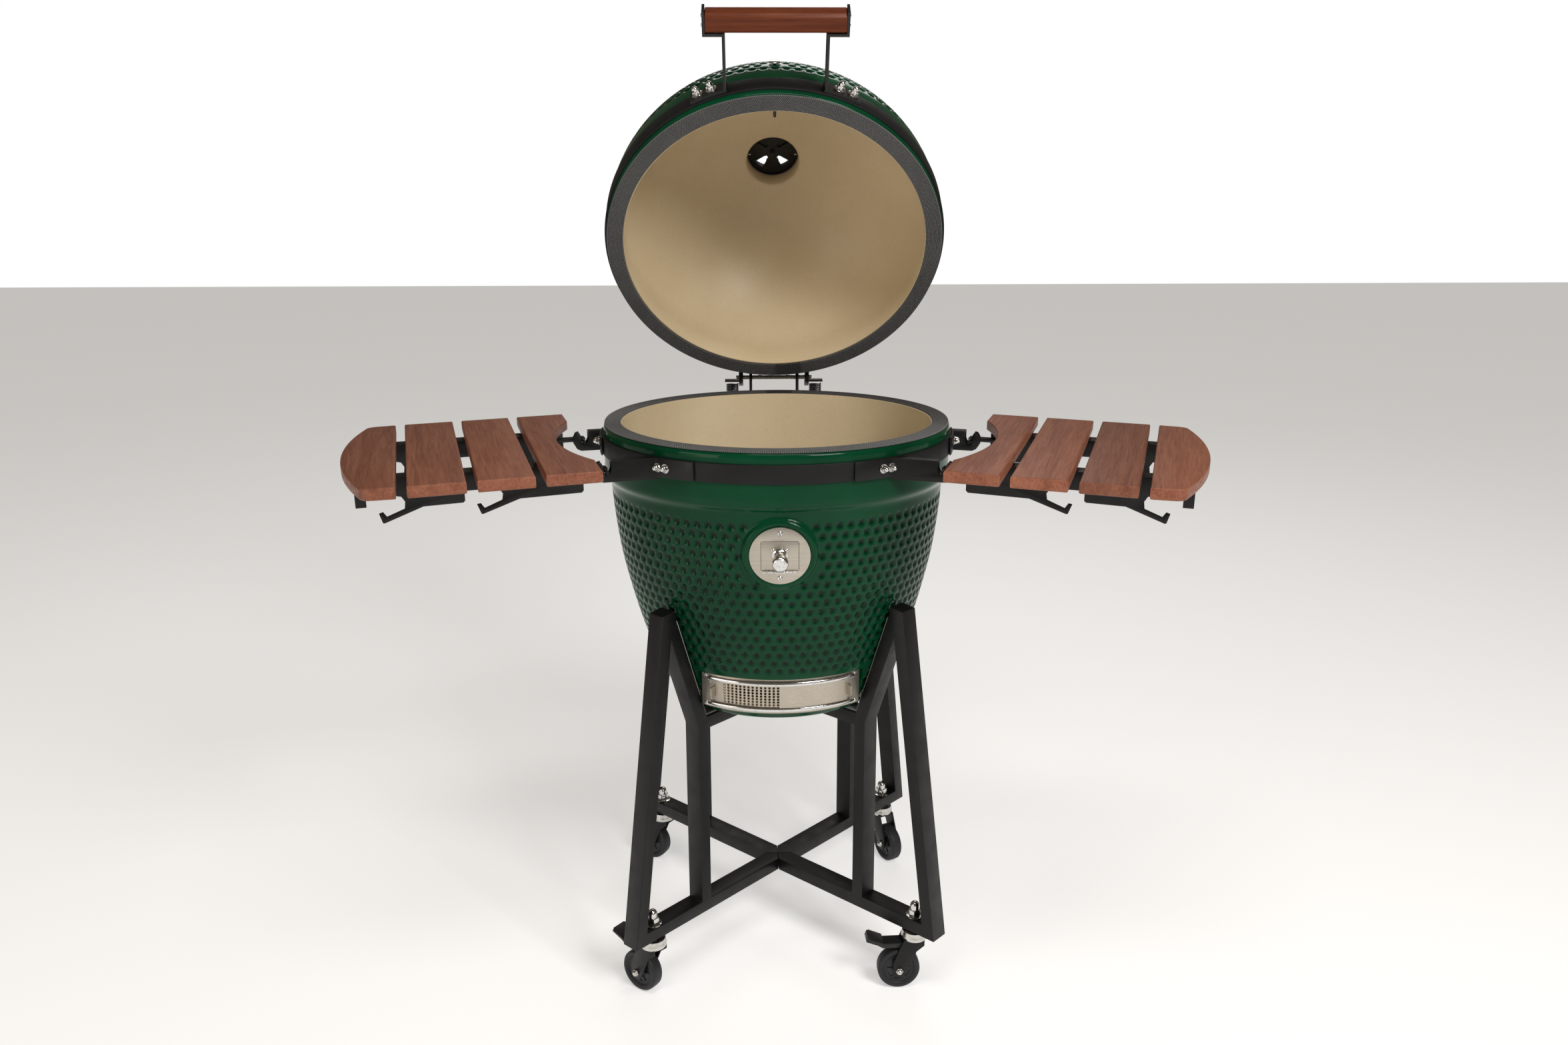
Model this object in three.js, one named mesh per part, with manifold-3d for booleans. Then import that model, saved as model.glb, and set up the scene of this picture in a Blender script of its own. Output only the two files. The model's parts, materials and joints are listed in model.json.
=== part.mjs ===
// Kamado ceramic grill on a four-caster stand with two fold-down shelves.
// Units: millimetres. +Z up, front faces -Y. z = 0 is the floor.
// The grill stands with its lid open and both shelves up.
import * as THREE from 'three';
import { mergeVertices } from 'three/addons/utils/BufferGeometryUtils.js';
import Module from 'manifold-3d';

const wasm = await Module();
wasm.setup();

// ------------------------------------------------------------ driving sizes
const GRILL_Y = 15;            // body axis, so that the whole stands centred on the origin
const GAP = 0.3;               // clearance between touching pieces
const CERAMIC_R = 264;         // outer radius of both ceramic rims
const RIM_Z = 867;             // top of the base gasket
const GASKET_R = 262.5;
const GASKET_RI = 238;
const BASE_BAND = [822, 849];
const LID_BAND = [881, 911];
const BAND_R = 267.3;
const HINGE_Y = 282, HINGE_Z = 886;
const LID_OPEN = 57.2;         // degrees from closed
const DOME_Z = 922, DOME_H = 232, DOME_R = 264, DOME_P = 1.85;
const DOME_RI = 240, DOME_HI = 202;   // inside of the dome
const VENT_R = 43.6;
const STAND_TURN = 1.83;       // the stand sits slightly turned under the body
const TUBE_W = 30, TUBE_T = 20;
const BAR_Z = [101, 121];
const UPPER_Z = [411, 431];
const POST_R = [173, 193];
const CASTER_R = 285;
const WHEEL_R = 33, TRAIL = 24;
const SWEEP = { r: 18.65, l: 15.25 };   // shelves swept forward
const DROOP = 0.9;
const SHELF_S = 307;           // body axis to the shelf's inner edge
const SHELF_Z = 858;           // top of the slats at the inner edge
const SLAT_W = 72, SLAT_GAP = 13.2, SLAT_T = 16;
const SLAT_BACK = 171, SLAT_FRONT = -260;
const RAIL_T = [-130, 93];     // the two rails, front and rear
const BRACKET_T = [-150, 73];  // the two brackets they hang in
const PIVOT_S = -20, PIVOT_N = -27;
const PORT_Z = 719, PORT_Y = -252.6, PORT_TILT = 6.7;
const DOOR_Z = 484, DOOR_R = 188;      // draft door: a cylinder sector round the body axis

// ---------------------------------------------------------------- materials
const mat = (color, roughness, metalness) => new THREE.MeshStandardMaterial({ color, roughness, metalness });
const M = {
  glaze: mat(0x0f4a2e, 0.15, 0), gasket: mat(0x3a3a3c, 0.95, 0), band: mat(0x242424, 0.6, 0.3),
  coat: mat(0x121213, 0.5, 0.3), wood: mat(0x7a3f22, 0.5, 0), steel: mat(0xa79d92, 0.35, 1),
  iron: mat(0x1a1a1a, 0.7, 0.4), clay: mat(0xb9a583, 0.85, 0), felt: mat(0x7c7c7a, 1, 0),
  rubber: mat(0x26262a, 0.7, 0), plastic: mat(0x161618, 0.5, 0), chrome: mat(0xd8d8d8, 0.12, 1),
  spring: mat(0x202022, 0.4, 0.8)
};

// ------------------------------------------------------------ shape helpers
const rad = (a) => a * Math.PI / 180;
function solid(geo) {
  let g = geo.index ? geo.toNonIndexed() : geo.clone();
  for (const k of Object.keys(g.attributes)) if (k !== 'position') g.deleteAttribute(k);
  const raw = g.attributes.position.array;
  for (let i = 0; i < raw.length; i++) raw[i] = Math.round(raw[i] * 1e3) / 1e3;
  g = mergeVertices(g, 1e-3);
  const p = g.attributes.position, ix = g.index.array, tri = [];
  let vol = 0;
  const a = new THREE.Vector3(), b = new THREE.Vector3(), c = new THREE.Vector3();
  for (let i = 0; i < ix.length; i += 3) {
    const [i0, i1, i2] = [ix[i], ix[i + 1], ix[i + 2]];
    if (i0 === i1 || i1 === i2 || i0 === i2) continue;
    a.fromBufferAttribute(p, i0); b.fromBufferAttribute(p, i1); c.fromBufferAttribute(p, i2);
    vol += a.dot(b.clone().cross(c));
    tri.push(i0, i1, i2);
  }
  if (vol < 0) for (let i = 0; i < tri.length; i += 3) { const t = tri[i]; tri[i] = tri[i + 1]; tri[i + 1] = t; }
  return new wasm.Manifold(new wasm.Mesh({ numProp: 3, vertProperties: Float32Array.from(p.array), triVerts: Uint32Array.from(tri) }));
}
const join = (...s) => s.reduce((x, y) => x.add(y));
const cut = (s, ...t) => t.reduce((x, y) => x.subtract(y), s);
function geometry(s) {
  const m = s.getMesh(), g = new THREE.BufferGeometry(), n = m.numProp, v = new Float32Array(m.vertProperties.length / n * 3);
  for (let i = 0; i < v.length / 3; i++) for (let k = 0; k < 3; k++) v[3 * i + k] = m.vertProperties[n * i + k];
  g.setAttribute('position', new THREE.BufferAttribute(v, 3));
  g.setIndex(new THREE.BufferAttribute(Uint32Array.from(m.triVerts), 1));
  g.computeVertexNormals();
  return g;
}
// turned profile of [radius, height] points about +Z
function turned(pts, segs, closed = true) {
  const v = pts.map(([r, z]) => new THREE.Vector2(r, z));
  if (closed) v.push(v[0].clone());
  return new THREE.LatheGeometry(v, segs).rotateX(Math.PI / 2);
}
function plate(pts, h, z = 0) {
  const s = new THREE.Shape(pts.map(([x, y]) => new THREE.Vector2(x, y)));
  return new THREE.ExtrudeGeometry(s, { depth: h, bevelEnabled: false, curveSegments: 12 }).translate(0, 0, z);
}
// outline in (x, z), thickness along y from y0 to y1
const upright = (pts, y0, y1) => plate(pts, y1 - y0, 0).rotateX(Math.PI / 2).translate(0, y1, 0);
const box = (x0, x1, y0, y1, z0, z1) => new THREE.BoxGeometry(x1 - x0, y1 - y0, z1 - z0).translate((x0 + x1) / 2, (y0 + y1) / 2, (z0 + z1) / 2);
const rodZ = (r, z0, z1, segs = 16, x = 0, y = 0) => new THREE.CylinderGeometry(r, r, z1 - z0, segs).rotateX(Math.PI / 2).translate(x, y, (z0 + z1) / 2);
const rodY = (r, y0, y1, segs = 16, x = 0, z = 0) => new THREE.CylinderGeometry(r, r, y1 - y0, segs).translate(x, (y0 + y1) / 2, z);
const rodX = (r, x0, x1, segs = 16, y = 0, z = 0) => new THREE.CylinderGeometry(r, r, x1 - x0, segs).rotateZ(Math.PI / 2).translate((x0 + x1) / 2, y, z);
// part of a ring in plan, angles in degrees from +X
function sector(r0, r1, a0, a1, z0, z1, n = 8) {
  const p = [];
  for (let i = 0; i <= n; i++) { const a = rad(a0 + (a1 - a0) * i / n); p.push([r1 * Math.cos(a), r1 * Math.sin(a)]); }
  for (let i = n; i >= 0; i--) { const a = rad(a0 + (a1 - a0) * i / n); p.push([r0 * Math.cos(a), r0 * Math.sin(a)]); }
  return plate(p, z1 - z0, z0);
}
const ring = (r0, r1, z0, z1, segs) => turned([[r0, z0], [r1, z0], [r1, z1], [r0, z1]], segs);

const grill = new THREE.Group();
grill.position.set(0, GRILL_Y, 0);
function piece(group, name, shape, material) {
  const g = shape instanceof THREE.BufferGeometry ? shape : geometry(shape);
  const m = new THREE.Mesh(g, material);
  m.name = name;
  group.add(m);
  return m;
}
const sub = (parent, x = 0, y = 0, z = 0) => { const g = new THREE.Group(); g.position.set(x, y, z); parent.add(g); return g; };

// ----------------------------------------------------------------- the stand
const stand = sub(grill);
stand.rotation.z = rad(STAND_TURN);
const cradleIn = (z) => 177 + (z - 435) * 0.3432;
const outline = [[0, BAR_Z[0]], [332, BAR_Z[0]], [259, 612], [236, 615.5], [cradleIn(606), 606], [cradleIn(433), 433], [175, UPPER_Z[1]], [0, UPPER_Z[1]],
  [0, UPPER_Z[0]], [POST_R[0], UPPER_Z[0]], [POST_R[0], BAR_Z[1]], [0, BAR_Z[1]]];
const windowPts = [[POST_R[1], BAR_Z[1]], [309, BAR_Z[1]], [244.7, 570.5], [POST_R[1], 419.8]];
const mitre = [[0.3, 0], [20.3, 20], [420, 20], [420, -20], [20.3, -20]];
const frameSolid = cut(solid(upright(outline, -TUBE_W / 2, TUBE_W / 2)), solid(upright(windowPts, -20, 20))).intersect(solid(plate(mitre, 600, 60)));
const feltSolid = (() => {
  const o = (d) => [[cradleIn(598) - d, 598], [cradleIn(434) - d, 434 + 0.5], [110, 431 + d]];
  const a = o(0.35), b = o(3.6);
  const p = [[a[0][0], a[0][1]], [cradleIn(436) - 0.35, 436], [cradleIn(436) - 3.2, UPPER_Z[1] + 0.35], [110, UPPER_Z[1] + 0.35],
    [110, UPPER_Z[1] + 3.6], [cradleIn(440) - 5.2, UPPER_Z[1] + 3.6], [b[0][0], b[0][1]]];
  return solid(upright(p, -12, 12));
})();
const feltGeo = geometry(feltSolid);
const frameGeo = geometry(frameSolid);
const CORNERS = { fl: 225, fr: 315, rr: 45, rl: 135 };
for (const [k, a] of Object.entries(CORNERS)) {
  piece(stand, `stand_frame_${k}`, frameGeo, M.coat).rotation.z = rad(a);
  piece(stand, `felt_pad_${k}`, feltGeo, M.felt).rotation.z = rad(a);
}

// --------------------------------------------------------------- the casters
const wheelGeo = geometry(solid(turned([[4.5, -8.5], [11, -8.5], [12, -6], [24, -6], [25, -10], [30, -10.5], [33, -4.5], [33, 4.5], [30, 10.5], [25, 10], [24, 6], [12, 6], [11, 8.5], [4.5, 8.5]], 18).rotateX(Math.PI / 2).translate(TRAIL, 0, WHEEL_R)));
const cheek = [[-14, 86], [18, 86], [34, 46], [34, 28], [29, 22], [19, 22], [14, 28], [-2, 66], [-14, 76]];
const forkSolid = join(
  solid(rodZ(18, 85, 97, 20)), solid(rodZ(8, 96.5, 100.6, 12)),
  solid(plate([[-14, -15], [18, -15], [18, 15], [-14, 15]], 4, 82.5)),
  solid(upright(cheek, 12.5, 15)), solid(upright(cheek, -15, -12.5)),
  solid(rodY(4.1, -13, 13, 14, TRAIL, WHEEL_R)));
const forkGeo = geometry(forkSolid);
const pedalGeo = geometry(join(
  solid(upright([[20, 72], [50, 72], [58, 77], [76, 84], [75, 87.5], [55, 80.5], [49, 79.5], [20, 79.5]], -11.4, 11.4)),
  solid(plate([[54, -14], [76, -15], [80, -11], [80, 11], [76, 15], [54, 14]], 3, 0).rotateY(rad(-21)).translate(0, 0, 59.4))));
const CASTER_AIM = { fl: 142, fr: 183, rr: -62, rl: 150 };  // direction of trail, degrees in plan
for (const [k, a] of Object.entries(CORNERS)) {
  const t = rad(a + STAND_TURN);
  const c = sub(grill, CASTER_R * Math.cos(t), CASTER_R * Math.sin(t), 0);
  c.rotation.z = rad(CASTER_AIM[k]);
  piece(c, `caster_fork_${k}`, forkGeo, M.coat);
  piece(c, `caster_wheel_${k}`, wheelGeo, M.rubber);
  if (k === 'fl' || k === 'fr') piece(c, `brake_pedal_${k}`, pedalGeo, M.plastic);
}

// ------------------------------------------------------------ the lower body
const baseOut = [[0, 435], [148, 435], [161, 438], [176.5, 461], [186.5, 485], [208, 543], [228, 606],
  [244, 678], [253, 750], [254.6, 776], [262.6, 788], [264, 794], [264, 859], [260.5, 864]];
const baseIn = [[236.5, 864], [236.5, 848], [228, 745], [208, 632], [177, 524], [158, 480], [138, 462], [0, 460]];
let base = solid(turned([...baseOut, ...baseIn], 48, false));
const portCyl = (r, y0, y1, segs) => solid(rodY(r, y0, y1, segs).rotateX(rad(PORT_TILT)).translate(0, PORT_Y, PORT_Z));
base = join(base, portCyl(50, 0, 24, 40));
const around = (r0, r1, a, z0, z1, n = 10) => solid(sector(r0, r1, -89 - a, -89 + a, z0, z1, n));
base = join(base, solid(turned([[165, 456], [178, 456], [DOOR_R - 1, 459], [DOOR_R - 1, 513], [175, 513], [160, 470]], 48)).intersect(around(100, 300, 38, 440, 530)));
base = cut(base, portCyl(31, -30, 60, 32), around(DOOR_R - 1, 240, 39.6, 450, 513.5, 12), around(140, 200, 26, 466, 502));
piece(grill, 'ceramic_base', base, M.glaze);
piece(grill, 'base_gasket', solid(turned([[GASKET_RI, 864.3], [GASKET_R, 864.3], [GASKET_R, 866.4], [261.6, RIM_Z], [239, RIM_Z], [GASKET_RI, 866.4]], 40)), M.gasket);
piece(grill, 'base_band', solid(ring(CERAMIC_R + GAP, BAND_R, BASE_BAND[0], BASE_BAND[1], 48)), M.band);

// insides: fire bowl, ring and the two grates
let bowl = solid(turned([[0, 463], [132, 463], [148, 478], [166, 520], [183, 575], [194, 622], [197, 640], [179, 640], [175, 622], [164, 575], [148, 522], [134, 488], [124, 482], [0, 482]], 30, false));
bowl = cut(bowl, solid(box(-40, 40, -190, -60, 484, 506)), ...[60, 120, 180, 240, 300, 0].map((a) => solid(rodZ(8, 455, 495, 8, 62 * Math.cos(rad(a)), 62 * Math.sin(rad(a))))), solid(rodZ(16, 455, 495, 12)));
piece(grill, 'fire_bowl', bowl, M.clay);
piece(grill, 'fire_ring', solid(turned([[179, 640.4], [197, 640.4], [209, 698], [209, 702], [190, 702], [188, 698]], 30)), M.clay);
const slots = [];
for (let i = -4; i <= 4; i++) { const w = Math.sqrt(98 * 98 - (i * 20) ** 2) - 6; slots.push(solid(box(-w, w, i * 20 - 5.5, i * 20 + 5.5, 470, 500))); }
piece(grill, 'charcoal_grate', cut(solid(rodZ(112, 482.4, 489, 36)), ...slots), M.iron);
const bars = [];
for (let i = -5; i <= 5; i++) { const w = Math.sqrt(200 * 200 - (i * 34) ** 2); bars.push(solid(rodX(2.6, -w, w, 5, i * 34, 706))); }
piece(grill, 'cooking_grate', join(solid(turned([[197, 702.4], [203, 702.4], [204.5, 706], [203, 709.6], [197, 709.6], [195.5, 706]], 32)), ...bars, solid(rodY(2.4, -199, 199, 5, 0, 704.8))), M.steel);

// ---------------------------------------------------- starter port and hatch
const port = sub(grill, 0, PORT_Y, PORT_Z);
port.rotation.x = rad(PORT_TILT);
const HATCH = { w: 26, top: 21.5, bot: -21.5 };
piece(port, 'port_plate', join(cut(solid(rodY(42.5, -1.9, -0.3, 40)), solid(box(-HATCH.w - 0.6, HATCH.w + 0.6, -5, 5, HATCH.bot - 0.6, HATCH.top + 0.6)), solid(box(-7.8, 7.8, -5, 5, HATCH.bot - 5, HATCH.bot))),
  solid(rodX(1.6, -23, -8, 8, -2.6, HATCH.bot - 2.6)), solid(rodX(1.6, 8, 23, 8, -2.6, HATCH.bot - 2.6))), M.steel);
piece(port, 'starter_hatch', join(solid(box(-HATCH.w, HATCH.w, -1.9, -0.3, HATCH.bot, HATCH.top)),
  solid(rodX(1.6, -7.4, 7.4, 8, -2.6, HATCH.bot - 2.6)), solid(box(-7, 7, -1.9, -0.9, HATCH.bot - 2.6, HATCH.bot + 1)),
  solid(turned([[0, 1.4], [9.5, 1.4], [9.5, 4.5], [6.5, 7], [6.2, 24], [10.6, 27], [11.4, 28.5], [11.4, 34.5], [10.2, 36], [0, 36]], 20, false).rotateX(Math.PI / 2).translate(0, 0, 1))), M.steel);

// ------------------------------------------------------------ the draft door
const draft = sub(grill, 0, 0, DOOR_Z);
draft.rotation.z = rad(1);
const arc = (r0, r1, a, b, z0, z1, n = 10) => solid(sector(r0, r1, -90 + a, -90 + b, z0, z1, n));
const D = DOOR_R;
piece(draft, 'draft_frame', cut(join(arc(D, D + 1.5, -38.4, 38.4, -27, 27, 16), arc(D, D + 6.4, -34, 34, 20.4, 21.8, 12), arc(D, D + 6.4, -34, 34, -21.8, -20.4, 12),
  arc(D + 5.2, D + 6.4, -34, 34, 17.6, 21.8, 12), arc(D + 5.2, D + 6.4, -34, 34, -21.8, -17.6, 12)),
arc(180, D + 4, -26, 26, -16, 16, 8)), M.steel);
piece(draft, 'draft_screen', join(arc(D + 1.9, D + 2.9, -31, 1.2, -20, 20, 10), arc(D + 1.9, D + 13, -31.6, -30.7, -8, 8, 1)), M.steel);
piece(draft, 'draft_door', join(arc(D + 3.3, D + 4.5, -1, 31, -20, 20, 10), arc(D + 3.3, D + 13, 30.7, 31.6, -8, 8, 1)), M.steel);

// ------------------------------------------------------- shelves and brackets
for (const side of ['r', 'l']) {
  const s = side === 'r' ? 1 : -1;
  const long = side === 'r' ? 'right' : 'left';
  const g1 = sub(grill);
  g1.rotation.z = rad(-s * SWEEP[side]);
  const X = (pts) => pts.map(([x, y]) => [s * x, y]);
  // two brackets on the base band, each a folded channel with a notch for the shelf's pivot pin
  BRACKET_T.forEach((t, i) => {
    const z0 = 818, z1 = 848, pz = SHELF_Z + PIVOT_N, px = SHELF_S + PIVOT_S - 0.4;
    const arm = [[190, z0], [px + 6, z0], [px + 12, z0 + 3], [px + 16, z0 + 10], [px + 16, z0 + 20], [px + 12.5, z0 + 26.5], [px + 8, z0 + 28], [px + 6, z0 + 24], [px + 5, z0 + 18], [px + 3.4, pz - 1],
      [px + 2, pz - 2.9], [px - 2, pz - 2.9], [px - 3.4, pz - 1], [px - 6, z0 + 18], [px - 6, z1], [190, z1]];
    const a0 = Math.atan2(t, Math.sqrt(BAND_R ** 2 - t ** 2)) * 180 / Math.PI;
    const foot = s > 0 ? sector(BAND_R + GAP, BAND_R + 3.3, a0 - 15, a0 + 3, 822, 849, 6) : sector(BAND_R + GAP, BAND_R + 3.3, 180 - a0 - 3, 180 - a0 + 15, 822, 849, 6);
    let b = join(solid(upright(X(arm), t - 8.5, t - 6)), solid(upright(X(arm), t + 6, t + 8.5)), solid(box(Math.min(s * 190, s * (px - 6)), Math.max(s * 190, s * (px - 6)), t - 8.4, t + 8.4, z1 - 2.5, z1)), solid(foot));
    b = cut(b, solid(rodZ(BAND_R + 0.9, 780, 900, 96)));
    piece(g1, `shelf_bracket_${long}_${i ? 'rear' : 'front'}`, b, M.coat);
  });
  const g2 = sub(g1, s * SHELF_S, 0, SHELF_Z);
  g2.rotation.y = rad(s * DROOP);
  // slats
  const mid = (SLAT_BACK + SLAT_FRONT) / 2;
  const inner = [[0, SLAT_BACK]];
  { const R = 362, cx = -329, cy = -38; for (let i = 0; i <= 12; i++) { const y = 113 - i * (113 + 189) / 12; const q = R * R - (y - cy) ** 2; inner.push([Math.max(0, cx + Math.sqrt(q)), y]); } }
  inner.push([0, SLAT_FRONT], [SLAT_W, SLAT_FRONT], [SLAT_W, SLAT_BACK]);
  const outerX = 3 * (SLAT_W + SLAT_GAP);
  const outer = [[outerX, SLAT_FRONT]];
  { const R = 726, cx = 328 - R; outer.push([outerX + 32, SLAT_FRONT], [outerX + 39, SLAT_FRONT + 5]); for (let i = 0; i <= 10; i++) { const y = SLAT_FRONT + 22 + i * (SLAT_BACK - SLAT_FRONT - 44) / 10; outer.push([cx + Math.sqrt(R * R - (y - mid) ** 2), y]); } outer.push([outerX + 39, SLAT_BACK - 5], [outerX + 32, SLAT_BACK]); }
  outer.push([outerX, SLAT_BACK]);
  const shapes = [inner];
  for (let i = 1; i < 3; i++) { const x = i * (SLAT_W + SLAT_GAP); shapes.push([[x, SLAT_FRONT], [x + SLAT_W, SLAT_FRONT], [x + SLAT_W, SLAT_BACK], [x, SLAT_BACK]]); }
  shapes.push(outer);
  shapes.forEach((p, i) => piece(g2, `slat_${long}_${i + 1}`, solid(plate(X(p), SLAT_T, -SLAT_T)), M.wood));
  // rails: angle section, two tool hooks each, a round arm and a pivot pin
  const top = -SLAT_T - GAP;
  const web = [[10, top], [311, top], [311, -54], [297, -54], [297, -41], [262, -41], [252, -43], [247.7, -50], [249, -60], [272.5, -69], [277.1, -62.3], [282.4, -63.9],
    [278.4, -77.2], [276, -77.6], [224.6, -58.8], [172.5, -58], [170, -55.5], [170, -46], [166, -42], [132, -42], [124, -43.5], [119.6, -50], [121, -58.8], [145.1, -68.3], [149.8, -61.2], [155, -62],
    [150, -75.8], [147.5, -76.2], [97, -59], [13, -58], [10, -55]];
  RAIL_T.forEach((t, i) => {
    const flange = i ? [t - 1.5, t + 27] : [t - 1.5, t + 27];
    const x0 = s > 0 ? 10 : -311, x1 = s > 0 ? 311 : -10;
    const r = join(solid(upright(X(web), t - 1.5, t + 1.5)), solid(box(x0, x1, flange[0], flange[1], top - 3, top)),
      solid(rodX(4.2, s > 0 ? PIVOT_S : -24, s > 0 ? 24 : -PIVOT_S, 12, t, PIVOT_N)), solid(rodY(2.6, BRACKET_T[i] - 11, t + 4, 12, s * PIVOT_S, PIVOT_N)),
      solid(rodY(4.2, t - 4.2, t + 4.2, 12, s * PIVOT_S, PIVOT_N)));
    piece(g2, `shelf_rail_${long}_${i ? 'rear' : 'front'}`, r, M.coat);
  });
}

// -------------------------------------------------------------------- hinge
const HB = 21;
const earPts = [[256, 806], [276, 806], [292, 880], [291.5, 890], [286.5, 894.8], [279, 894.6], [274.5, 890], [270, 852], [256, 850]];
const ear = (x0, x1, pts) => solid(plate(pts, x1 - x0, 0).rotateX(Math.PI / 2).rotateZ(Math.PI / 2).translate(x0, 0, 0));
const pinHole = (x0, x1, r) => solid(rodX(r, x0, x1, 16, HINGE_Y, HINGE_Z));
const axisCut = (z0, z1) => solid(rodZ(BAND_R + GAP, z0, z1, 48));
let hb = join(solid(sector(266, 271, 90 - HB, 90 + HB, 800, 849, 14)), ear(38, 43, earPts), ear(-43, -38, earPts),
  solid(box(60, 87, 255, 318, 796.5, 800.5)), solid(box(-87, -60, 255, 318, 796.5, 800.5)));
hb = cut(hb, axisCut(700, 900), pinHole(-50, 50, 4.4));
piece(grill, 'hinge_bracket_base', hb, M.coat);
piece(grill, 'hinge_pin', solid(rodX(4, -66, 66, 16, HINGE_Y, HINGE_Z)), M.steel);
for (const s of [1, -1]) piece(grill, `hinge_spring_${s > 0 ? 'right' : 'left'}`, solid(ring(6.5, 11.2, 801, 870.5, 20).translate(s * 73, 305, 0)), M.spring);

// ---------------------------------------------------------- the lid, opened
const lidPivot = sub(grill, 0, HINGE_Y, HINGE_Z);
lidPivot.rotation.x = rad(-LID_OPEN);
const lid = sub(lidPivot, 0, -HINGE_Y, -HINGE_Z);     // inside this group the lid lies closed
const domeR = (z) => DOME_R * Math.pow(1 - Math.pow((z - DOME_Z) / DOME_H, DOME_P), 1 / DOME_P);
const domeRi = (z) => DOME_RI * Math.pow(1 - Math.pow((z - DOME_Z) / DOME_HI, DOME_P), 1 / DOME_P);
const lidOut = [[260.5, 870.6], [262.8, 872.2], [264, 876], [264, 922]];
for (const z of [948, 974, 1000, 1026, 1052, 1076, 1098, 1117, 1133, 1144.5]) lidOut.push([domeR(z), z]);
lidOut.push([60, 1148], [60, 1172], [44.4, 1172], [44.4, 1120]);
const lidIn = [];
for (const z of [1118, 1107, 1090, 1066, 1037, 1003, 965, 930]) lidIn.push([domeRi(z), z]);
lidIn.push([236.5, 890], [236.5, 870.6]);
let dome = solid(turned([...lidOut, ...lidIn], 48));
const GAUGE_Z = 972, GAUGE_TILT = 17;
dome = cut(dome, solid(rodY(4.2, -20, 60, 12).rotateX(rad(-GAUGE_TILT)).translate(0, -domeR(GAUGE_Z), GAUGE_Z)));
piece(lid, 'ceramic_lid', dome, M.glaze);
piece(lid, 'lid_gasket', solid(turned([[GASKET_RI, 868.2], [239, 867.6], [261.6, 867.6], [GASKET_R, 868.2], [GASKET_R, 870.3], [GASKET_RI, 870.3]], 40)), M.gasket);
piece(lid, 'lid_band', solid(ring(CERAMIC_R + GAP, BAND_R, LID_BAND[0], LID_BAND[1], 48)), M.band);
// temperature probe through the front of the dome
const gauge = sub(lid, 0, -domeR(GAUGE_Z), GAUGE_Z);
gauge.rotation.x = rad(-GAUGE_TILT);
piece(gauge, 'temperature_probe', join(solid(turned([[0, 1.2], [9, 1.2], [9, 3], [7, 4.4], [0, 4.6]], 24, false).rotateX(Math.PI / 2)), solid(rodY(2.4, -3, 78, 10))), M.steel);
// vent
const wedge = (r0, r1, a0, a1, z0, z1) => solid(sector(r0, r1, a0, a1, z0, z1, 3));
const petals = (off, z0, z1) => [0, 1, 2, 3].map((i) => wedge(12, 35, off + i * 90 - 17, off + i * 90 + 17, z0, z1));
piece(lid, 'vent_base', cut(join(solid(turned([[42, 1146], [43.8, 1146], [43.8, 1172.3], [57, 1172.3], [57, 1176], [42, 1176]], 28)), solid(rodZ(43, 1150, 1153, 28))), ...petals(45, 1140, 1160), solid(rodZ(4.4, 1140, 1160, 12))), M.iron);
piece(lid, 'vent_disc', cut(join(solid(rodZ(38.2, 1153.4, 1156.4, 28)), solid(rodZ(3.9, 1146, 1166, 12)), solid(turned([[0, 1161], [7, 1161], [9, 1164], [9, 1172], [7, 1175], [0, 1175]], 20, false))), ...petals(45 + 12, 1140, 1156.9)), M.iron);
// handle: two bent straps and a wooden grip
for (const s of [1, -1]) {
  const r0 = BAND_R + GAP, r1 = r0 + 4;
  const bx = (x0, x1, y0, y1) => solid(box(Math.min(s * x0, s * x1), Math.max(s * x0, s * x1), y0, y1, 883.5, 908.5));
  const foot = s > 0 ? sector(r0 - 2, r1, -75, -63, 883.5, 908.5, 6) : sector(r0 - 2, r1, -117, -105, 883.5, 908.5, 6);
  const strap = join(solid(foot), bx(71, 75, -345, -258.5), bx(71, 102, -345, -341), bx(98.2, 102, -376, -342));
  piece(lid, `handle_strap_${s > 0 ? 'right' : 'left'}`, cut(strap, solid(rodZ(r0, 870, 920, 48))), M.coat);
}
const gripSec = [[-345.4, 886.5], [-349, 882], [-369, 882], [-373.6, 887], [-373.6, 905], [-369, 910], [-349, 910], [-345.4, 905.5]];
piece(lid, 'handle_grip', solid(plate(gripSec, 195.6, 0).rotateX(Math.PI / 2).rotateZ(Math.PI / 2).translate(-97.8, 0, 0)), M.wood);
// hinge leaf with the two spring arms (in the lid's closed frame)
const armA = rad(28.5), sx = HINGE_Y + 26 * Math.cos(armA), sz = HINGE_Z + 26 * Math.sin(armA);
const leafPts = [[256, 884], [274, 882], [280, 876.5], [287, 877], [sx + 1, sz - 8], [sx + 5, sz - 2], [sx + 2, sz + 4], [sx - 6, sz + 3], [288, 899], [276, 902], [270, 908], [256, 908]];
const tab = (s) => solid(box(-13, 13, -9, 9, 0, 3).rotateX(rad(LID_OPEN)).translate(s * 73, HINGE_Y + 24.6 * Math.cos(armA) - 1.2, HINGE_Z + 24.6 * Math.sin(armA) + 1));
let leaf = join(solid(sector(266, 271, 90 - 15.5, 90 + 15.5, 883, 909, 10)), ear(54, 61, leafPts), ear(-61, -54, leafPts), tab(1), tab(-1));
leaf = cut(leaf, axisCut(860, 930), pinHole(-80, 80, 4.4));
piece(lid, 'hinge_leaf_lid', leaf, M.coat);

export default grill;
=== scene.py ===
import json, math
import bpy, bmesh
import numpy as np
from mathutils import Matrix, Vector

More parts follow.
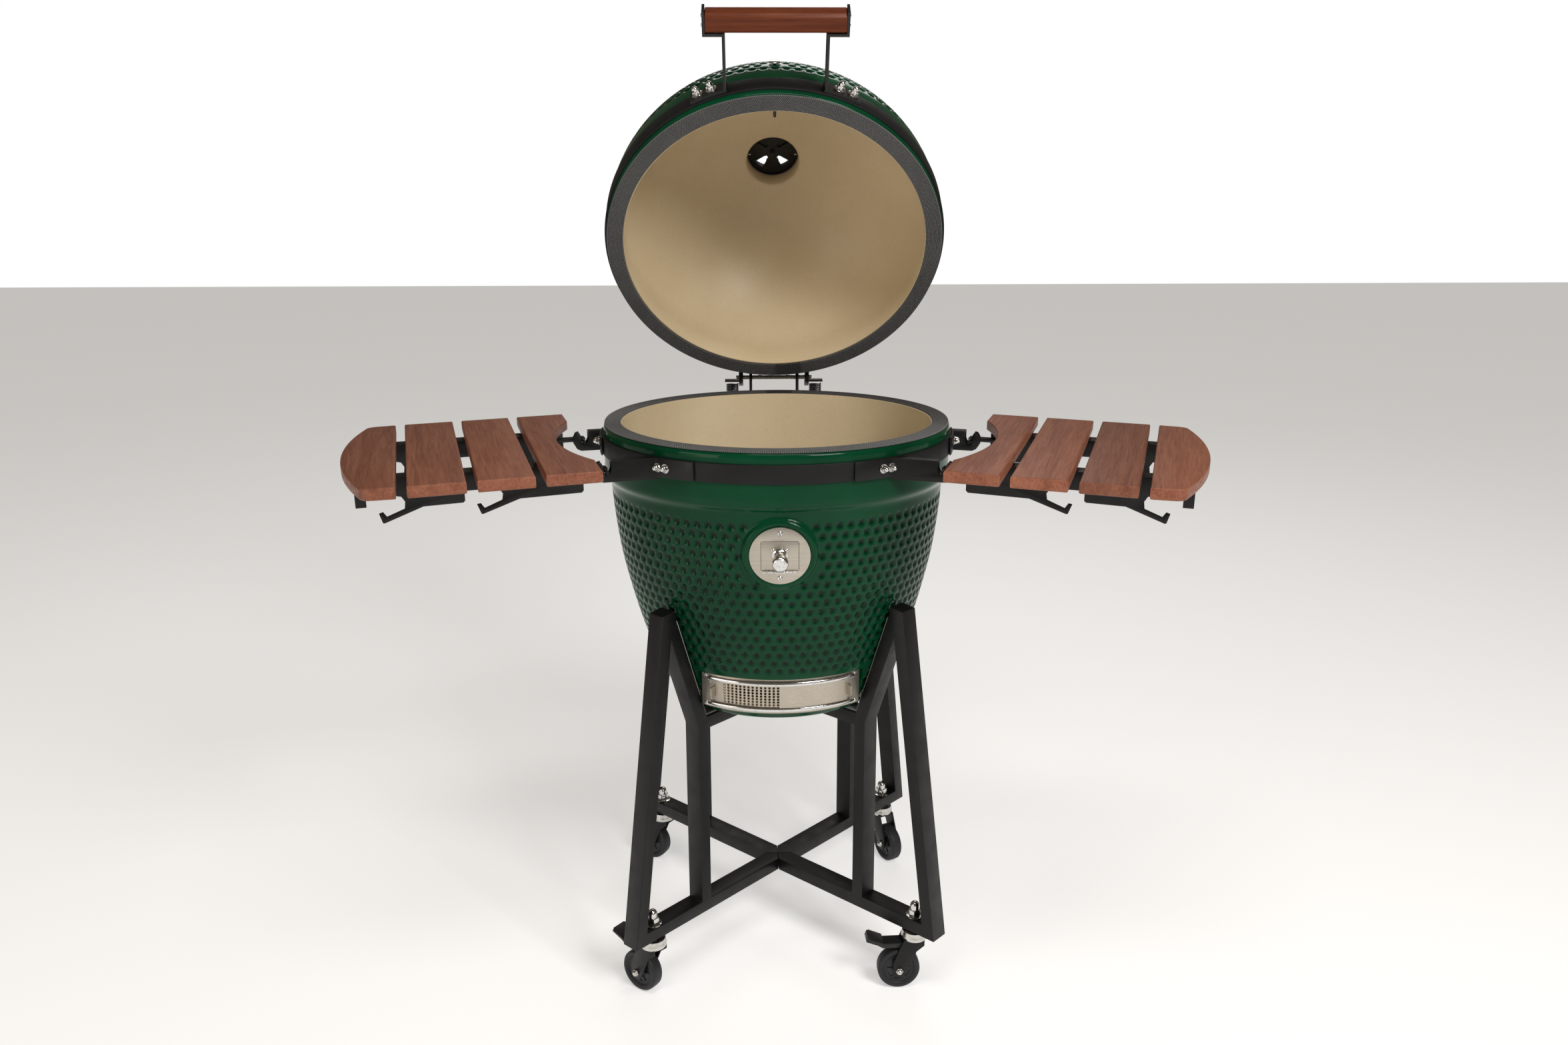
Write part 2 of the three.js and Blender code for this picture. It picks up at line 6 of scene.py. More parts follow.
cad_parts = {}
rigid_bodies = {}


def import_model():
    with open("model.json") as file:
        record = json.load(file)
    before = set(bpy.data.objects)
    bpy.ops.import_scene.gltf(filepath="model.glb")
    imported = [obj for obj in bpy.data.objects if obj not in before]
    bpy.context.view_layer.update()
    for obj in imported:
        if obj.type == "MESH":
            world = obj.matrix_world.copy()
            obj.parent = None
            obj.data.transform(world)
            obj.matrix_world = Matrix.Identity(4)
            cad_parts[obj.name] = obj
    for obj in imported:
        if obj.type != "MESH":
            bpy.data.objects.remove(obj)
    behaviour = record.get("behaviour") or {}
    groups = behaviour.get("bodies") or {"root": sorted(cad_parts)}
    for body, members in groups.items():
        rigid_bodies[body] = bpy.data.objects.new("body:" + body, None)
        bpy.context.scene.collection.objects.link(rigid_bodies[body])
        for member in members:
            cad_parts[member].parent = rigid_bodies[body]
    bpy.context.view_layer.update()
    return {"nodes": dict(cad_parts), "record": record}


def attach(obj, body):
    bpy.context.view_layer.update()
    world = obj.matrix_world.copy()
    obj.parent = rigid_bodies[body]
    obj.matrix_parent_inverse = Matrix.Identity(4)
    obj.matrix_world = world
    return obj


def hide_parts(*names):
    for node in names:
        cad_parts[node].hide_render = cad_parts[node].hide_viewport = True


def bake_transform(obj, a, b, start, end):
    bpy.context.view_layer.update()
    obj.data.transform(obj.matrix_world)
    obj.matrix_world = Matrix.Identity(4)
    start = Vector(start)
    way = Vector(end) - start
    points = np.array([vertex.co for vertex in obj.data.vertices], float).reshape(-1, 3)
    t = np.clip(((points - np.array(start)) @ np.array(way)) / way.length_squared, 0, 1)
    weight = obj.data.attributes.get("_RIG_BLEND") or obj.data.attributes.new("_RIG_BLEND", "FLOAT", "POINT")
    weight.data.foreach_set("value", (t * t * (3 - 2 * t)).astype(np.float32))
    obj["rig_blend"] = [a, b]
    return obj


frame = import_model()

NODES = frame["nodes"]
rad = math.radians

# ------------------------------------------------------------------ frames
# every local frame is rigid and in metres; the numbers repeat the CAD's
GY = 0.015
T = lambda x, y, z: Matrix.Translation((x / 1000, y / 1000, z / 1000))
RX = lambda a: Matrix.Rotation(rad(a), 4, "X")
RY = lambda a: Matrix.Rotation(rad(a), 4, "Y")
RZ = lambda a: Matrix.Rotation(rad(a), 4, "Z")
BASE = T(0, 15, 0)
LID = BASE @ T(0, 282, 886) @ RX(-57.2) @ T(0, -282, -886)
PORT = BASE @ T(0, -252.6, 719) @ RX(6.7)
DRAFT = BASE @ T(0, 0, 484) @ RZ(1)
SWEEP = {"right": 18.65, "left": 15.25}
SIDE = {"right": 1, "left": -1}
CORNER = {"fl": 225, "fr": 315, "rr": 45, "rl": 135}
AIM = {"fl": 142, "fr": 183, "rr": -62, "rl": 150}
def ARM(side):
    return BASE @ RZ(-SIDE[side] * SWEEP[side])
def SHELF(side):
    k = SIDE[side]
    return ARM(side) @ T(k * 307, 0, 858) @ RY(k * 0.9)
def STAND(k):
    return BASE @ RZ(1.83 + CORNER[k])
def CASTER(k):
    a = rad(1.83 + CORNER[k])
    return BASE @ T(285 * math.cos(a), 285 * math.sin(a), 0) @ RZ(AIM[k])
DOME_Z, DOME_H, DOME_R, DOME_P = 922.0, 232.0, 264.0, 1.85
DOME_RI, DOME_HI = 240.0, 202.0
domeR = lambda z: DOME_R * max(0.0, 1 - ((z - DOME_Z) / DOME_H) ** DOME_P) ** (1 / DOME_P)
domeRi = lambda z: DOME_RI * max(0.0, 1 - ((z - DOME_Z) / DOME_HI) ** DOME_P) ** (1 / DOME_P)
GAUGE = LID @ T(0, -domeR(972), 972) @ RX(-17)

# --------------------------------------------------------------- materials
def mk(name):
    m = bpy.data.materials.new(name); m.use_nodes = True
    nt = m.node_tree; nt.nodes.clear()
    out = nt.nodes.new("ShaderNodeOutputMaterial"); b = nt.nodes.new("ShaderNodeBsdfPrincipled")
    nt.links.new(b.outputs[0], out.inputs[0])
    return m, nt, b
def node(nt, kind, **kw):
    n = nt.nodes.new(kind)
    for k, v in kw.items():
        if k in n.inputs.keys(): n.inputs[k].default_value = v
        else: setattr(n, k, v)
    return n
def coords(nt, scale=(1, 1, 1), rot=(0, 0, 0)):
    tc = nt.nodes.new("ShaderNodeTexCoord"); mp = nt.nodes.new("ShaderNodeMapping")
    mp.inputs["Scale"].default_value = scale; mp.inputs["Rotation"].default_value = rot
    nt.links.new(tc.outputs["Object"], mp.inputs["Vector"])
    return mp.outputs[0]
def noise(nt, vec, scale, detail=4, rough=0.55, dist=0.0):
    n = nt.nodes.new("ShaderNodeTexNoise"); n.inputs["Scale"].default_value = scale
    n.inputs["Detail"].default_value = detail; n.inputs["Roughness"].default_value = rough; n.inputs["Distortion"].default_value = dist
    if vec is not None: nt.links.new(vec, n.inputs["Vector"])
    return n.outputs["Fac"]
def ramp(nt, fac, stops):
    r = nt.nodes.new("ShaderNodeValToRGB"); e = r.color_ramp.elements
    while len(e) < len(stops): e.new(0.5)
    for el, (p, c) in zip(e, stops):
        el.position = p; el.color = tuple(c) + (1,) if len(c) == 3 else c
    nt.links.new(fac, r.inputs[0])
    return r.outputs[0]
def maprange(nt, v, a, b, c, d):
    n = nt.nodes.new("ShaderNodeMapRange")
    for i, x in zip((1, 2, 3, 4), (a, b, c, d)): n.inputs[i].default_value = x
    nt.links.new(v, n.inputs[0])
    return n.outputs[0]
def mth(nt, op, a, b=None, c=None):
    n = nt.nodes.new("ShaderNodeMath"); n.operation = op
    for i, x in enumerate((a, b, c)):
        if x is None: continue
        if isinstance(x, (int, float)): n.inputs[i].default_value = x
        else: nt.links.new(x, n.inputs[i])
    return n.outputs[0]
def mixc(nt, fac, a, b, blend="MIX"):
    n = nt.nodes.new("ShaderNodeMix"); n.data_type = "RGBA"; n.blend_type = blend
    for i, x in ((0, fac), (6, a), (7, b)):
        if isinstance(x, (int, float)): n.inputs[i].default_value = x
        elif isinstance(x, (tuple, list)): n.inputs[i].default_value = tuple(x) + (1,) if len(x) == 3 else x
        else: nt.links.new(x, n.inputs[i])
    return n.outputs[2]
def bump(nt, bsdf, h, strength=0.3, dist=0.001, prev=None):
    n = nt.nodes.new("ShaderNodeBump"); n.inputs["Strength"].default_value = strength; n.inputs["Distance"].default_value = dist
    nt.links.new(h, n.inputs["Height"])
    if prev is not None: nt.links.new(prev, n.inputs["Normal"])
    nt.links.new(n.outputs[0], bsdf.inputs["Normal"])
    return n.outputs[0]
def srgb(r, g, b):
    f = lambda c: (c / 255 / 12.92) if c <= 10 else ((c / 255 + 0.055) / 1.055) ** 2.4
    return (f(r), f(g), f(b))

def mat_glaze():
    m, nt, b = mk("green_glaze"); v = coords(nt)
    big = noise(nt, v, 7, 3)
    # the dimple depth darkens the green towards srgb(2, 22, 13): painted shade in the dimple hollows
    at = node(nt, "ShaderNodeAttribute", attribute_name="painted_dimple_shade")
    c1 = ramp(nt, big, [(0.3, srgb(3, 50, 29)), (0.7, srgb(6, 66, 39))])
    c2 = mixc(nt, at.outputs["Fac"], c1, srgb(2, 22, 13))
    fine = noise(nt, v, 420, 2)
    c3 = mixc(nt, maprange(nt, fine, 0.62, 0.75, 0, 0.35), c2, srgb(14, 60, 40))
    nt.links.new(c3, b.inputs["Base Color"])
    nt.links.new(maprange(nt, noise(nt, v, 30, 3), 0.3, 0.7, 0.10, 0.2), b.inputs["Roughness"])
    b.inputs["Coat Weight"].default_value = 0.10; b.inputs["Coat Roughness"].default_value = 0.03
    b.inputs["Specular IOR Level"].default_value = 0.09
    bump(nt, b, noise(nt, v, 60, 2), 0.12, 0.0015)
    return m
def mat_cream():
    m, nt, b = mk("cream_inside"); v = coords(nt)
    c1 = ramp(nt, noise(nt, v, 5, 4), [(0.3, srgb(206, 188, 154)), (0.7, srgb(218, 202, 170))])
    sp = node(nt, "ShaderNodeTexVoronoi", feature="F1"); sp.inputs["Scale"].default_value = 330; nt.links.new(v, sp.inputs["Vector"])
    specks = mth(nt, "MULTIPLY", maprange(nt, sp.outputs["Distance"], 0.10, 0.22, 1, 0), maprange(nt, noise(nt, v, 90, 2), 0.5, 0.6, 0, 1))
    c2 = mixc(nt, mth(nt, "MULTIPLY", specks, 0.5), c1, srgb(120, 95, 60))
    c3 = mixc(nt, maprange(nt, noise(nt, v, 700, 2), 0.45, 0.7, 0, 0.2), c2, srgb(170, 142, 100))
    nt.links.new(c3, b.inputs["Base Color"])
    b.inputs["Roughness"].default_value = 0.42; b.inputs["Specular IOR Level"].default_value = 0.4
    bump(nt, b, noise(nt, v, 260, 3), 0.08, 0.0006)
    return m
def mat_gasket():
    m, nt, b = mk("woven_gasket")
    tc = nt.nodes.new("ShaderNodeTexCoord"); sx = nt.nodes.new("ShaderNodeSeparateXYZ"); nt.links.new(tc.outputs["Object"], sx.inputs[0])
    ang = mth(nt, "ARCTAN2", sx.outputs[1], sx.outputs[0])
    rr = mth(nt, "SQRT", mth(nt, "ADD", mth(nt, "MULTIPLY", sx.outputs[0], sx.outputs[0]), mth(nt, "MULTIPLY", sx.outputs[1], sx.outputs[1])))
    rib = mth(nt, "MULTIPLY", rr, 1000 / 2.07)
    row = mth(nt, "FLOOR", rib)
    au = mth(nt, "ADD", mth(nt, "MULTIPLY", ang, 88), mth(nt, "MULTIPLY", row, 0.5))
    s1 = mth(nt, "ABSOLUTE", mth(nt, "SINE", mth(nt, "MULTIPLY", au, math.pi)))
    s2 = mth(nt, "ABSOLUTE", mth(nt, "SINE", mth(nt, "MULTIPLY", rib, math.pi)))
    h = mth(nt, "MULTIPLY", mth(nt, "POWER", s1, 0.6), mth(nt, "POWER", s2, 0.6))
    v = coords(nt)
    fz = noise(nt, v, 900, 3)
    # the colour follows the weave relief: near black in the grooves, painted shade, and light grey on the rib tops,
    # painted highlight
    c = ramp(nt, h, [(0.05, srgb(12, 12, 13)), (0.5, srgb(56, 56, 57)), (1.0, srgb(112, 112, 111))])
    c = mixc(nt, maprange(nt, noise(nt, v, 18, 3), 0.35, 0.7, 0, 0.45), c, srgb(40, 40, 41))
    seam = node(nt, "ShaderNodeAttribute", attribute_name="seam")
    c = mixc(nt, mth(nt, "MULTIPLY", seam.outputs["Fac"], 0.95), c, srgb(9, 9, 10))
    c = mixc(nt, maprange(nt, fz, 0.55, 0.75, 0, 0.4), c, srgb(100, 100, 100))
    nt.links.new(c, b.inputs["Base Color"]); b.inputs["Roughness"].default_value = 0.85
    b.inputs["Sheen Weight"].default_value = 0.25; b.inputs["Sheen Roughness"].default_value = 0.5
    n1 = bump(nt, b, h, 1.0, 0.0018)
    bump(nt, b, fz, 0.25, 0.0004, n1)
    return m
def mat_black(name, col=(17, 17, 18), rough=0.42, grain=900, gs=0.22, spec=0.5):
    m, nt, b = mk(name); v = coords(nt)
    c = ramp(nt, noise(nt, v, 14, 4), [(0.3, srgb(*[max(0, x - 4) for x in col])), (0.7, srgb(*[x + 5 for x in col]))])
    nt.links.new(c, b.inputs["Base Color"])
    nt.links.new(maprange(nt, noise(nt, v, 35, 4), 0.3, 0.7, rough - 0.07, rough + 0.09), b.inputs["Roughness"])
    b.inputs["Specular IOR Level"].default_value = spec
    bump(nt, b, noise(nt, v, grain, 2), gs, 0.0004)
    return m
def mat_wood(name="reddish_hardwood", k_=1.0, pal=((96, 42, 20), (120, 56, 28), (134, 66, 34), (148, 78, 42))):
    m, nt, b = mk(name)
    v = coords(nt, (1, 0.045, 1)); v2 = coords(nt, (1, 0.012, 1)); v3 = coords(nt)
    info = nt.nodes.new("ShaderNodeObjectInfo")
    add = nt.nodes.new("ShaderNodeVectorMath"); add.operation = "ADD"; nt.links.new(v, add.inputs[0])
    cmb = nt.nodes.new("ShaderNodeCombineXYZ"); k = mth(nt, "MULTIPLY", info.outputs["Random"], 7.0)
    for i in range(3): nt.links.new(k, cmb.inputs[i])
    nt.links.new(cmb.outputs[0], add.inputs[1]); vv = add.outputs[0]
    grain = noise(nt, vv, 260, 7, 0.62, 0.5); broad = noise(nt, vv, 34, 4, 0.5, 1.2)
    pores = noise(nt, v2, 1500, 3, 0.5)
    mixg = mth(nt, "ADD", mth(nt, "MULTIPLY", grain, 0.6), mth(nt, "MULTIPLY", broad, 0.4))
    c = ramp(nt, mixg, [(t_, srgb(*c_)) for t_, c_ in zip((0.28, 0.46, 0.58, 0.74), pal)])
    tint = ramp(nt, info.outputs["Random"], [(0.0, (0.80 * k_, 0.80 * k_, 0.80 * k_)), (1.0, (1.12 * k_, 1.08 * k_, 1.04 * k_))])
    c = mixc(nt, 1.0, c, tint, "MULTIPLY")
    c = mixc(nt, maprange(nt, pores, 0.58, 0.72, 0, 0.6), c, srgb(48, 22, 14))
    nt.links.new(c, b.inputs["Base Color"])
    nt.links.new(maprange(nt, grain, 0.3, 0.7, 0.5, 0.36), b.inputs["Roughness"])
    b.inputs["Specular IOR Level"].default_value = 0.22
    n1 = bump(nt, b, grain, 0.25, 0.0006); bump(nt, b, pores, 0.25, 0.0003, n1)
    return m
def mat_steel(name="brushed_steel", axis=0, col=(0.47, 0.43, 0.37), rough=0.3, scratch=0.25):
    m, nt, b = mk(name)
    sc = [900, 900, 900]; sc[axis] = 9
    v = coords(nt, tuple(sc)); w = coords(nt)
    st = noise(nt, v, 1, 3, 0.6)
    c = mixc(nt, maprange(nt, st, 0.35, 0.65, 0, 1), tuple(x * 0.86 for x in col), tuple(min(1, x * 1.1) for x in col))
    c = mixc(nt, maprange(nt, noise(nt, w, 24, 4), 0.45, 0.7, 0, 0.3), c, tuple(x * 0.72 for x in col))
    nt.links.new(c, b.inputs["Base Color"]); b.inputs["Metallic"].default_value = 1
    nt.links.new(maprange(nt, st, 0.3, 0.7, rough - 0.06, rough + 0.12), b.inputs["Roughness"])
    b.inputs["Anisotropic"].default_value = 0.4
    bump(nt, b, st, scratch, 0.0002)
    return m
def mat_chrome(name="polished", col=(0.66, 0.65, 0.64), rough=0.12):
    m, nt, b = mk(name); v = coords(nt)
    b.inputs["Metallic"].default_value = 1
    nt.links.new(mixc(nt, maprange(nt, noise(nt, v, 160, 3), 0.5, 0.7, 0, 0.5), col, tuple(x * 0.6 for x in col)), b.inputs["Base Color"])
    nt.links.new(maprange(nt, noise(nt, v, 300, 3), 0.3, 0.7, rough * 0.6, rough * 1.8), b.inputs["Roughness"])
    bump(nt, b, noise(nt, v, 500, 2), 0.04, 0.0002)
    return m
def mat_felt():
    m, nt, b = mk("grey_felt"); v = coords(nt)
    f1 = noise(nt, v, 700, 6, 0.75, 1.0); f2 = noise(nt, v, 60, 4)
    c = ramp(nt, f1, [(0.3, srgb(84, 84, 83)), (0.52, srgb(136, 136, 134)), (0.7, srgb(178, 178, 175))])
    c = mixc(nt, maprange(nt, f2, 0.4, 0.7, 0, 0.35), c, srgb(98, 98, 97))
    nt.links.new(c, b.inputs["Base Color"]); b.inputs["Roughness"].default_value = 0.95
    b.inputs["Sheen Weight"].default_value = 0.6
    n1 = bump(nt, b, f1, 0.9, 0.0012); bump(nt, b, f2, 0.5, 0.001, n1)
    return m
def mat_clay():
    m, nt, b = mk("fired_clay"); v = coords(nt)
    c = ramp(nt, noise(nt, v, 40, 6), [(0.3, srgb(168, 146, 112)), (0.7, srgb(204, 184, 150))])
    c = mixc(nt, maprange(nt, noise(nt, v, 500, 2), 0.6, 0.7, 0, 0.5), c, srgb(120, 98, 72))
    nt.links.new(c, b.inputs["Base Color"]); b.inputs["Roughness"].default_value = 0.9
    bump(nt, b, noise(nt, v, 300, 4), 0.4, 0.001)
    return m

M = dict(glaze=mat_glaze(), cream=mat_cream(), gasket=mat_gasket(),
         band=mat_black("band_black", (14, 14, 15), 0.55, 500, 0.35, 0.28),
         coat=mat_black("powder_coat", (9, 9, 10), 0.42, 1100, 0.22, 0.3),
         strap=mat_black("handle_coat", (16, 16, 17), 0.36, 1100, 0.2, 0.5),
         iron=mat_black("cast_iron", (14, 14, 14), 0.35, 420, 0.35, 0.55),
         plastic=mat_black("moulded_plastic", (20, 20, 22), 0.48, 700, 0.15, 0.45),
         rubber=mat_black("wheel_rubber", (34, 35, 39), 0.55, 600, 0.2, 0.35),
         hub=mat_black("wheel_hub", (26, 27, 30), 0.4, 700, 0.15, 0.45),
         wood=mat_wood("reddish_hardwood", 1.15, ((98, 56, 42), (124, 76, 58), (138, 88, 68), (151, 101, 80))), woodg=mat_wood("reddish_hardwood_grip", 0.62), steel=mat_steel(), steelv=mat_steel("brushed_steel_upright", 2),
         door=mat_steel("door_steel", 0, (0.50, 0.45, 0.38), 0.34, 0.2),
         chrome=mat_chrome(), pin=mat_chrome("zinc_pin", (0.62, 0.61, 0.58), 0.25),
         spring=mat_chrome("spring_wire", (0.10, 0.10, 0.10), 0.34),
         felt=mat_felt(), clay=mat_clay())

# ----------------------------------------------------------- mesh helpers
def obj(name, verts_mm, faces, key, body, frame_m=None, smooth=30, bevel=None, segs=2, extra=None, replaces=(), weld=None, subsurf=0):
    me = bpy.data.meshes.new(name)
    v = np.asarray(verts_mm, float).reshape(-1, 3) / 1000
    me.from_pydata(v.tolist(), [], [tuple(f) for f in faces]); me.validate(); me.update()
    bm = bmesh.new(); bm.from_mesh(me)
    if weld: bmesh.ops.remove_doubles(bm, verts=bm.verts, dist=weld / 1000)
    bmesh.ops.recalc_face_normals(bm, faces=bm.faces); bm.to_mesh(me); bm.free()
    o = bpy.data.objects.new(name, me); bpy.context.scene.collection.objects.link(o)
    if frame_m is not None: o.matrix_world = frame_m
    return dress(o, key, body, smooth, bevel, segs, replaces, subsurf)
def dress(o, key, body, smooth=30, bevel=None, segs=2, replaces=(), subsurf=0):
    me = o.data
    me.materials.clear(); me.materials.append(M[key])
    if bevel:
        md = o.modifiers.new("edge", "BEVEL"); md.width = bevel / 1000; md.segments = segs; md.limit_method = "ANGLE"; md.angle_limit = rad(32)
        md.use_clamp_overlap = True; md.harden_normals = False
    if subsurf:
        md = o.modifiers.new("sub", "SUBSURF"); md.levels = md.render_levels = subsurf
    if bevel or subsurf: apply_mods(o)
    me = o.data
    me.polygons.foreach_set("use_smooth", [True] * len(me.polygons))
    if smooth < 180: me.set_sharp_from_angle(angle=rad(smooth))
    me.update()
    if body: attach(o, body)
    if replaces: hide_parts(*replaces)
    return o
def apply_mods(o):
    bpy.context.view_layer.update()
    dg = bpy.context.evaluated_depsgraph_get(); ev = o.evaluated_get(dg)
    me = bpy.data.meshes.new_from_object(ev, preserve_all_data_layers=True, depsgraph=dg)
    old = o.data; o.modifiers.clear(); o.data = me; bpy.data.meshes.remove(old)
def body_of(n):
    for b, ns in frame["record"]["behaviour"]["bodies"].items():
        if n in ns: return b
def detail(node_name, key, bevel=0.8, segs=2, smooth=32, weld=True, name=None):
    """A finer copy of a CAD node: flat faces merged and edges rounded."""
    src = NODES[node_name]; o = bpy.data.objects.new(name or node_name + "_fine", src.data.copy())
    bpy.context.scene.collection.objects.link(o)
    bm = bmesh.new(); bm.from_mesh(o.data)
    bmesh.ops.remove_doubles(bm, verts=bm.verts, dist=2e-5)
    bmesh.ops.dissolve_limit(bm, angle_limit=rad(1.0), verts=bm.verts, edges=bm.edges)
    bmesh.ops.recalc_face_normals(bm, faces=bm.faces)
    bm.to_mesh(o.data); bm.free()
    for a in [a for a in o.data.attributes if a.name in ("sharp_edge",)]: o.data.attributes.remove(a)
    return dress(o, key, body_of(node_name), smooth, bevel, segs, (node_name,))
def revolve(profile, segs, a0=0.0, a1=360.0, close=True):
    """profile of (r, z) in mm about +Z. close joins the last profile point to the first."""
    full = abs(a1 - a0) >= 359.999; n = segs if full else segs + 1
    th = np.radians(a0 + (a1 - a0) * np.arange(n) / segs)
    P = np.array(profile, float); m = len(P)
    V = np.stack([np.outer(np.cos(th), P[:, 0]), np.outer(np.sin(th), P[:, 0]), np.repeat(P[None, :, 1], n, 0)], -1).reshape(-1, 3)
    F = []
    mm = m if close else m - 1
    for i in range(segs):
        j = (i + 1) % n
        for k in range(mm):
            l = (k + 1) % m; q = [i * m + k, j * m + k, j * m + l, i * m + l]
            if P[k, 0] < 1e-6 and P[l, 0] < 1e-6: continue
            if P[k, 0] < 1e-6: q = [i * m + k, j * m + l, i * m + l]
            elif P[l, 0] < 1e-6: q = [i * m + k, j * m + k, i * m + l]
            F.append(q)
    if not full and close:
        F.append(list(range(m))); F.append([segs * m + k for k in range(m)][::-1])
    return V, F
def merge(*parts):
    V, F, o = [], [], 0
    for v, f in parts:
        v = np.asarray(v, float).reshape(-1, 3); V.append(v); F += [[i + o for i in q] for q in f]; o += len(v)
    return np.concatenate(V), F
def xf(part, mat=None, mv=None):
    """move a part (mm) by a 4x4 with mm translation"""
    v = np.asarray(part[0], float).reshape(-1, 3)
    if mat is not None: v = v @ np.array(mat.to_3x3()).T
    if mv is not None: v = v + np.array(mv, float)
    return v, part[1]
def prism(pts, z0, z1):
    n = len(pts); V = [(x, y, z0) for x, y in pts] + [(x, y, z1) for x, y in pts]
    F = [list(range(n))[::-1], [n + i for i in range(n)]] + [[i, (i + 1) % n, n + (i + 1) % n, n + i] for i in range(n)]
    return np.array(V, float), F
def tube(path, r, segs=12, caps=True, closed=False):
    P = np.array(path, float); n = len(P)
    t = np.gradient(P, axis=0) if not closed else (np.roll(P, -1, 0) - np.roll(P, 1, 0))
    t /= np.linalg.norm(t, axis=1)[:, None]
    up = np.array([0, 0, 1.0]) if abs(t[0][2]) < 0.9 else np.array([1.0, 0, 0])
    u = np.cross(t[0], up); u /= np.linalg.norm(u); V = []
    rr = np.full(n, r) if np.isscalar(r) else np.array(r, float)
    for i in range(n):
        u = u - t[i] * u.dot(t[i]); u /= np.linalg.norm(u); w = np.cross(t[i], u)
        for k in range(segs):
            a = 2 * math.pi * k / segs; V.append(P[i] + rr[i] * (math.cos(a) * u + math.sin(a) * w))
    F = []
    for i in range(n if closed else n - 1):
        j = (i + 1) % n
        for k in range(segs):
            l = (k + 1) % segs; F.append([i * segs + k, i * segs + l, j * segs + l, j * segs + k])
    if caps and not closed: F.append(list(range(segs))[::-1]); F.append([(n - 1) * segs + k for k in range(segs)])
    return np.array(V), F
def acorn(h=12.0, w=10.0, washer=True):
    """cap nut standing on z = 0: washer, hexagon, dome"""
    parts = []
    z0 = 0
    if washer:
        parts.append(revolve([(0, 0), (w * 0.80, 0), (w * 0.82, 0.3), (w * 0.82, 1.1), (w * 0.78, 1.4), (0, 1.4)], 32, close=False)); z0 = 1.4
    hx = w * 0.5 / math.cos(math.pi / 6); n = 48; rows = []
    hz = h * 0.42
    for z, sh in ((z0, 0.0), (z0 + 0.5, 1.0), (z0 + hz - 0.6, 1.0), (z0 + hz, 0.35)):
        ring = []
        for i in range(n):
            a = 2 * math.pi * i / n; k = (a % (math.pi / 3)) - math.pi / 6
            rh = hx * math.cos(math.pi / 6) / math.cos(k); r = w * 0.47 + (rh - w * 0.47) * sh
            ring.append((r * math.cos(a), r * math.sin(a), z))
        rows.append(ring)
    dr = w * 0.44; dz = h - hz - z0 - dr * 0.9
    rows.append([(dr * math.cos(2 * math.pi * i / n), dr * math.sin(2 * math.pi * i / n), z0 + hz + 0.1) for i in range(n)])
    rows.append([(dr * math.cos(2 * math.pi * i / n), dr * math.sin(2 * math.pi * i / n), z0 + hz + max(0.2, dz)) for i in range(n)])
    for q in (15, 30, 45, 60, 75):
        rows.append([(dr * math.cos(rad(q)) * math.cos(2 * math.pi * i / n), dr * math.cos(rad(q)) * math.sin(2 * math.pi * i / n), z0 + hz + max(0.2, dz) + dr * 0.95 * math.sin(rad(q))) for i in range(n)])
    V = [p for r in rows for p in r]; F = []
    for i in range(len(rows) - 1):
        for k in range(n): l = (k + 1) % n; F.append([i * n + k, i * n + l, (i + 1) * n + l, (i + 1) * n + k])
    top = len(V); V.append((0, 0, z0 + hz + max(0.2, dz) + dr * 0.95)); F += [[(len(rows) - 1) * n + k, (len(rows) - 1) * n + (k + 1) % n, top] for k in range(n)]
    F.append(list(range(n))[::-1]); parts.append((np.array(V), F))
    return merge(*parts)
def screw(r=4.0, h=2.2, cross=True):
    """pan-head screw on z = 0 with a cross recess"""
    n, rings = 48, 14; V, F = [], []
    for j in range(rings + 1):
        q = j / rings; rr = r * math.cos(q * math.pi / 2) if j else r
        rr = r * (1 - q)
        z = h * math.sqrt(max(0, 1 - (rr / r) ** 2.6))
        for i in range(n):
            a = 2 * math.pi * i / n; x, y = rr * math.cos(a), rr * math.sin(a); zz = z
            if cross and rr < 0.62 * r and min(abs(x), abs(y)) < 0.13 * r: zz = z - 0.55 * h * (1 - rr / (0.7 * r))
            V.append((x, y, zz if j else 0))
    for j in range(rings):
        for i in range(n): l = (i + 1) % n; F.append([j * n + i, j * n + l, (j + 1) * n + l, (j + 1) * n + i])
    F.append(list(range(n))[::-1])
    return np.array(V), F
def toward(d):
    """rotation taking +Z to direction d"""
    return Vector((0, 0, 1)).rotation_difference(Vector(d)).to_matrix().to_4x4()

# -------------------------------------------------------------- the ceramic
def smoothstep(x): x = np.clip(x, 0, 1); return x * x * (3 - 2 * x)
def pchip(xs, ys, x):
    xs, ys = np.array(xs, float), np.array(ys, float); h = np.diff(xs); d = np.diff(ys) / h
    m = np.zeros(len(xs)); m[0], m[-1] = d[0], d[-1]
    for i in range(1, len(xs) - 1):
        if d[i - 1] * d[i] > 0:
            w1, w2 = 2 * h[i] + h[i - 1], h[i] + 2 * h[i - 1]; m[i] = (w1 + w2) / (w1 / d[i - 1] + w2 / d[i])
    i = np.clip(np.searchsorted(xs, x) - 1, 0, len(h) - 1); t = (x - xs[i]) / h[i]
    return (2 * t**3 - 3 * t**2 + 1) * ys[i] + (t**3 - 2 * t**2 + t) * h[i] * m[i] + (-2 * t**3 + 3 * t**2) * ys[i + 1] + (t**3 - t**2) * h[i] * m[i + 1]
DIM_PITCH, DIM_ROW, DIM_R, DIM_D = 17.0, 14.7, 6.9, 2.9
